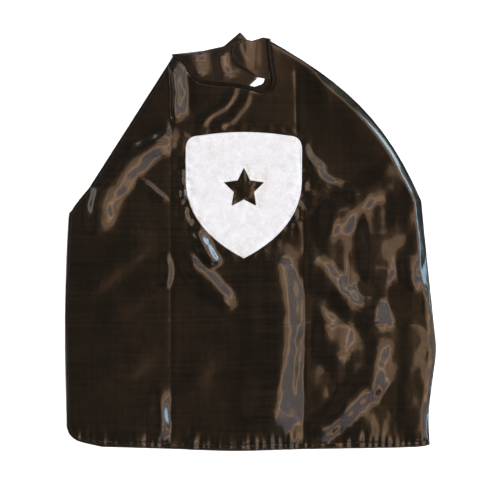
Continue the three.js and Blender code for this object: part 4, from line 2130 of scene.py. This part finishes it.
@dataclass
class Studio:
    """The camera straight above the cape, a pale floor and soft lights.

    Attributes:
        view_width: Width of the picture at the floor.
        lens: Focal length.
        centre: The point that the camera is above.
        floor_half: Half the floor's width.
        floor_drop: How far the floor is below the cape.
        air: Colour of the light from all round.
        air_strength: Its strength.
    """

    view_width: float = 0.950
    lens: float = 200.0
    centre: tuple[float, float] = (-0.0011, -0.016)
    floor_half: float = 6.0
    floor_drop: float = 0.2
    air: tuple[float, float, float] = (0.86, 0.90, 1.0)
    air_strength: float = 0.16

    def lamps(self) -> list[Lamp]:
        """Lists the soft lights: a pale bay window with a warm frame to the right, and fills around.

        Returns:
            The lamps.
        """
        pale, warm = (0.50, 0.70, 1.0), (1.0, 0.62, 0.38)
        cool, soft = (0.40, 0.68, 1.0), (0.94, 0.97, 1.0)
        lamps = [
            Lamp("sky", 3, 54, (1.5, 3.6), 600, cool),
            Lamp("high_sky", 32, 54, (1.6, 2.8), 580, (0.55, 0.78, 1.0)),
            Lamp("left_wall", 175, 30, (3.0, 8.0), 30, warm),
            Lamp("left_fill", 174, 59, (2.0, 5.4), 215, (0.96, 0.97, 1.0), 9.8),
            Lamp("top_fill", 94, 60, (1.8, 6.0), 300, soft, 9.9),
            Lamp("front_fill", -84, 60, (1.8, 6.6), 300, soft, 9.9),
        ]
        for turn in (-47, 0, 47):
            lamps.append(Lamp(f"window_{turn}", turn, 31.0, (1.9, 4.3), 80, pale))
            lamps.append(Lamp(f"wall_{turn}", turn, 16.6, (1.5, 2.5), 46, (1.0, 0.68, 0.46)))
            lamps.append(Lamp(f"frame_near_{turn}", turn, 23.3, (0.45, 3.4), 76, warm))
            lamps.append(Lamp(f"frame_far_{turn}", turn, 39.8, (0.45, 5.2), 105, warm))
        return lamps

    def build(self) -> None:
        """Builds the camera, the floor and the lights."""
        camera = bpy.data.cameras.new("camera")
        camera.lens = self.lens
        camera.clip_end = 50
        eye = hang("camera", camera)
        eye.location = (*self.centre, self.view_width * self.lens / camera.sensor_width)
        bpy.context.scene.camera = eye
        for lamp in self.lamps():
            lamp.build()
        world = bpy.data.worlds.new("room")
        world.use_nodes = True
        background = world.node_tree.nodes["Background"]
        background.inputs["Color"].default_value = (*self.air, 1)
        background.inputs["Strength"].default_value = self.air_strength
        bpy.context.scene.world = world
        bpy.context.scene.view_settings.view_transform = "Standard"
        self.floor()

    def floor(self) -> None:
        """Lays the pale floor."""
        material = bpy.data.materials.new("pale_floor")
        material.use_nodes = True
        gloss = material.node_tree.nodes["Principled BSDF"]
        gloss.inputs["Base Color"].default_value = (0.93, 0.93, 0.93, 1)
        gloss.inputs["Roughness"].default_value = 0.95
        gloss.inputs["Specular IOR Level"].default_value = 0.1
        far = self.floor_half / MM
        signs = ((-1, -1), (1, -1), (1, 1), (-1, 1))
        corners = np.array([(i * far, j * far, -self.floor_drop) for i, j in signs])
        piece = new_object("floor", corners, [[0, 1, 2, 3]], material)


def main() -> None:
    """Builds the studio and the cape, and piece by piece."""
    logging.basicConfig(level=logging.INFO, format="%(name)s %(message)s")
    Studio().build()
    left_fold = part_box("outer_satin_left")[1].x / MM + FOLD_GAP / 2
    right_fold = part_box("outer_satin_right")[0].x / MM - FOLD_GAP / 2
    log.info("folds at %.1f and %.1f mm", left_fold, right_fold)
    room = Workroom(Wardrobe(), Lie(left_fold, right_fold), stitch_tree(), pile_tree())
    Panels(room).build()
    NeckEdge(room).build()
    Emblem(room).build()
    Straps(room).build()


if __name__ == "__main__":
    main()
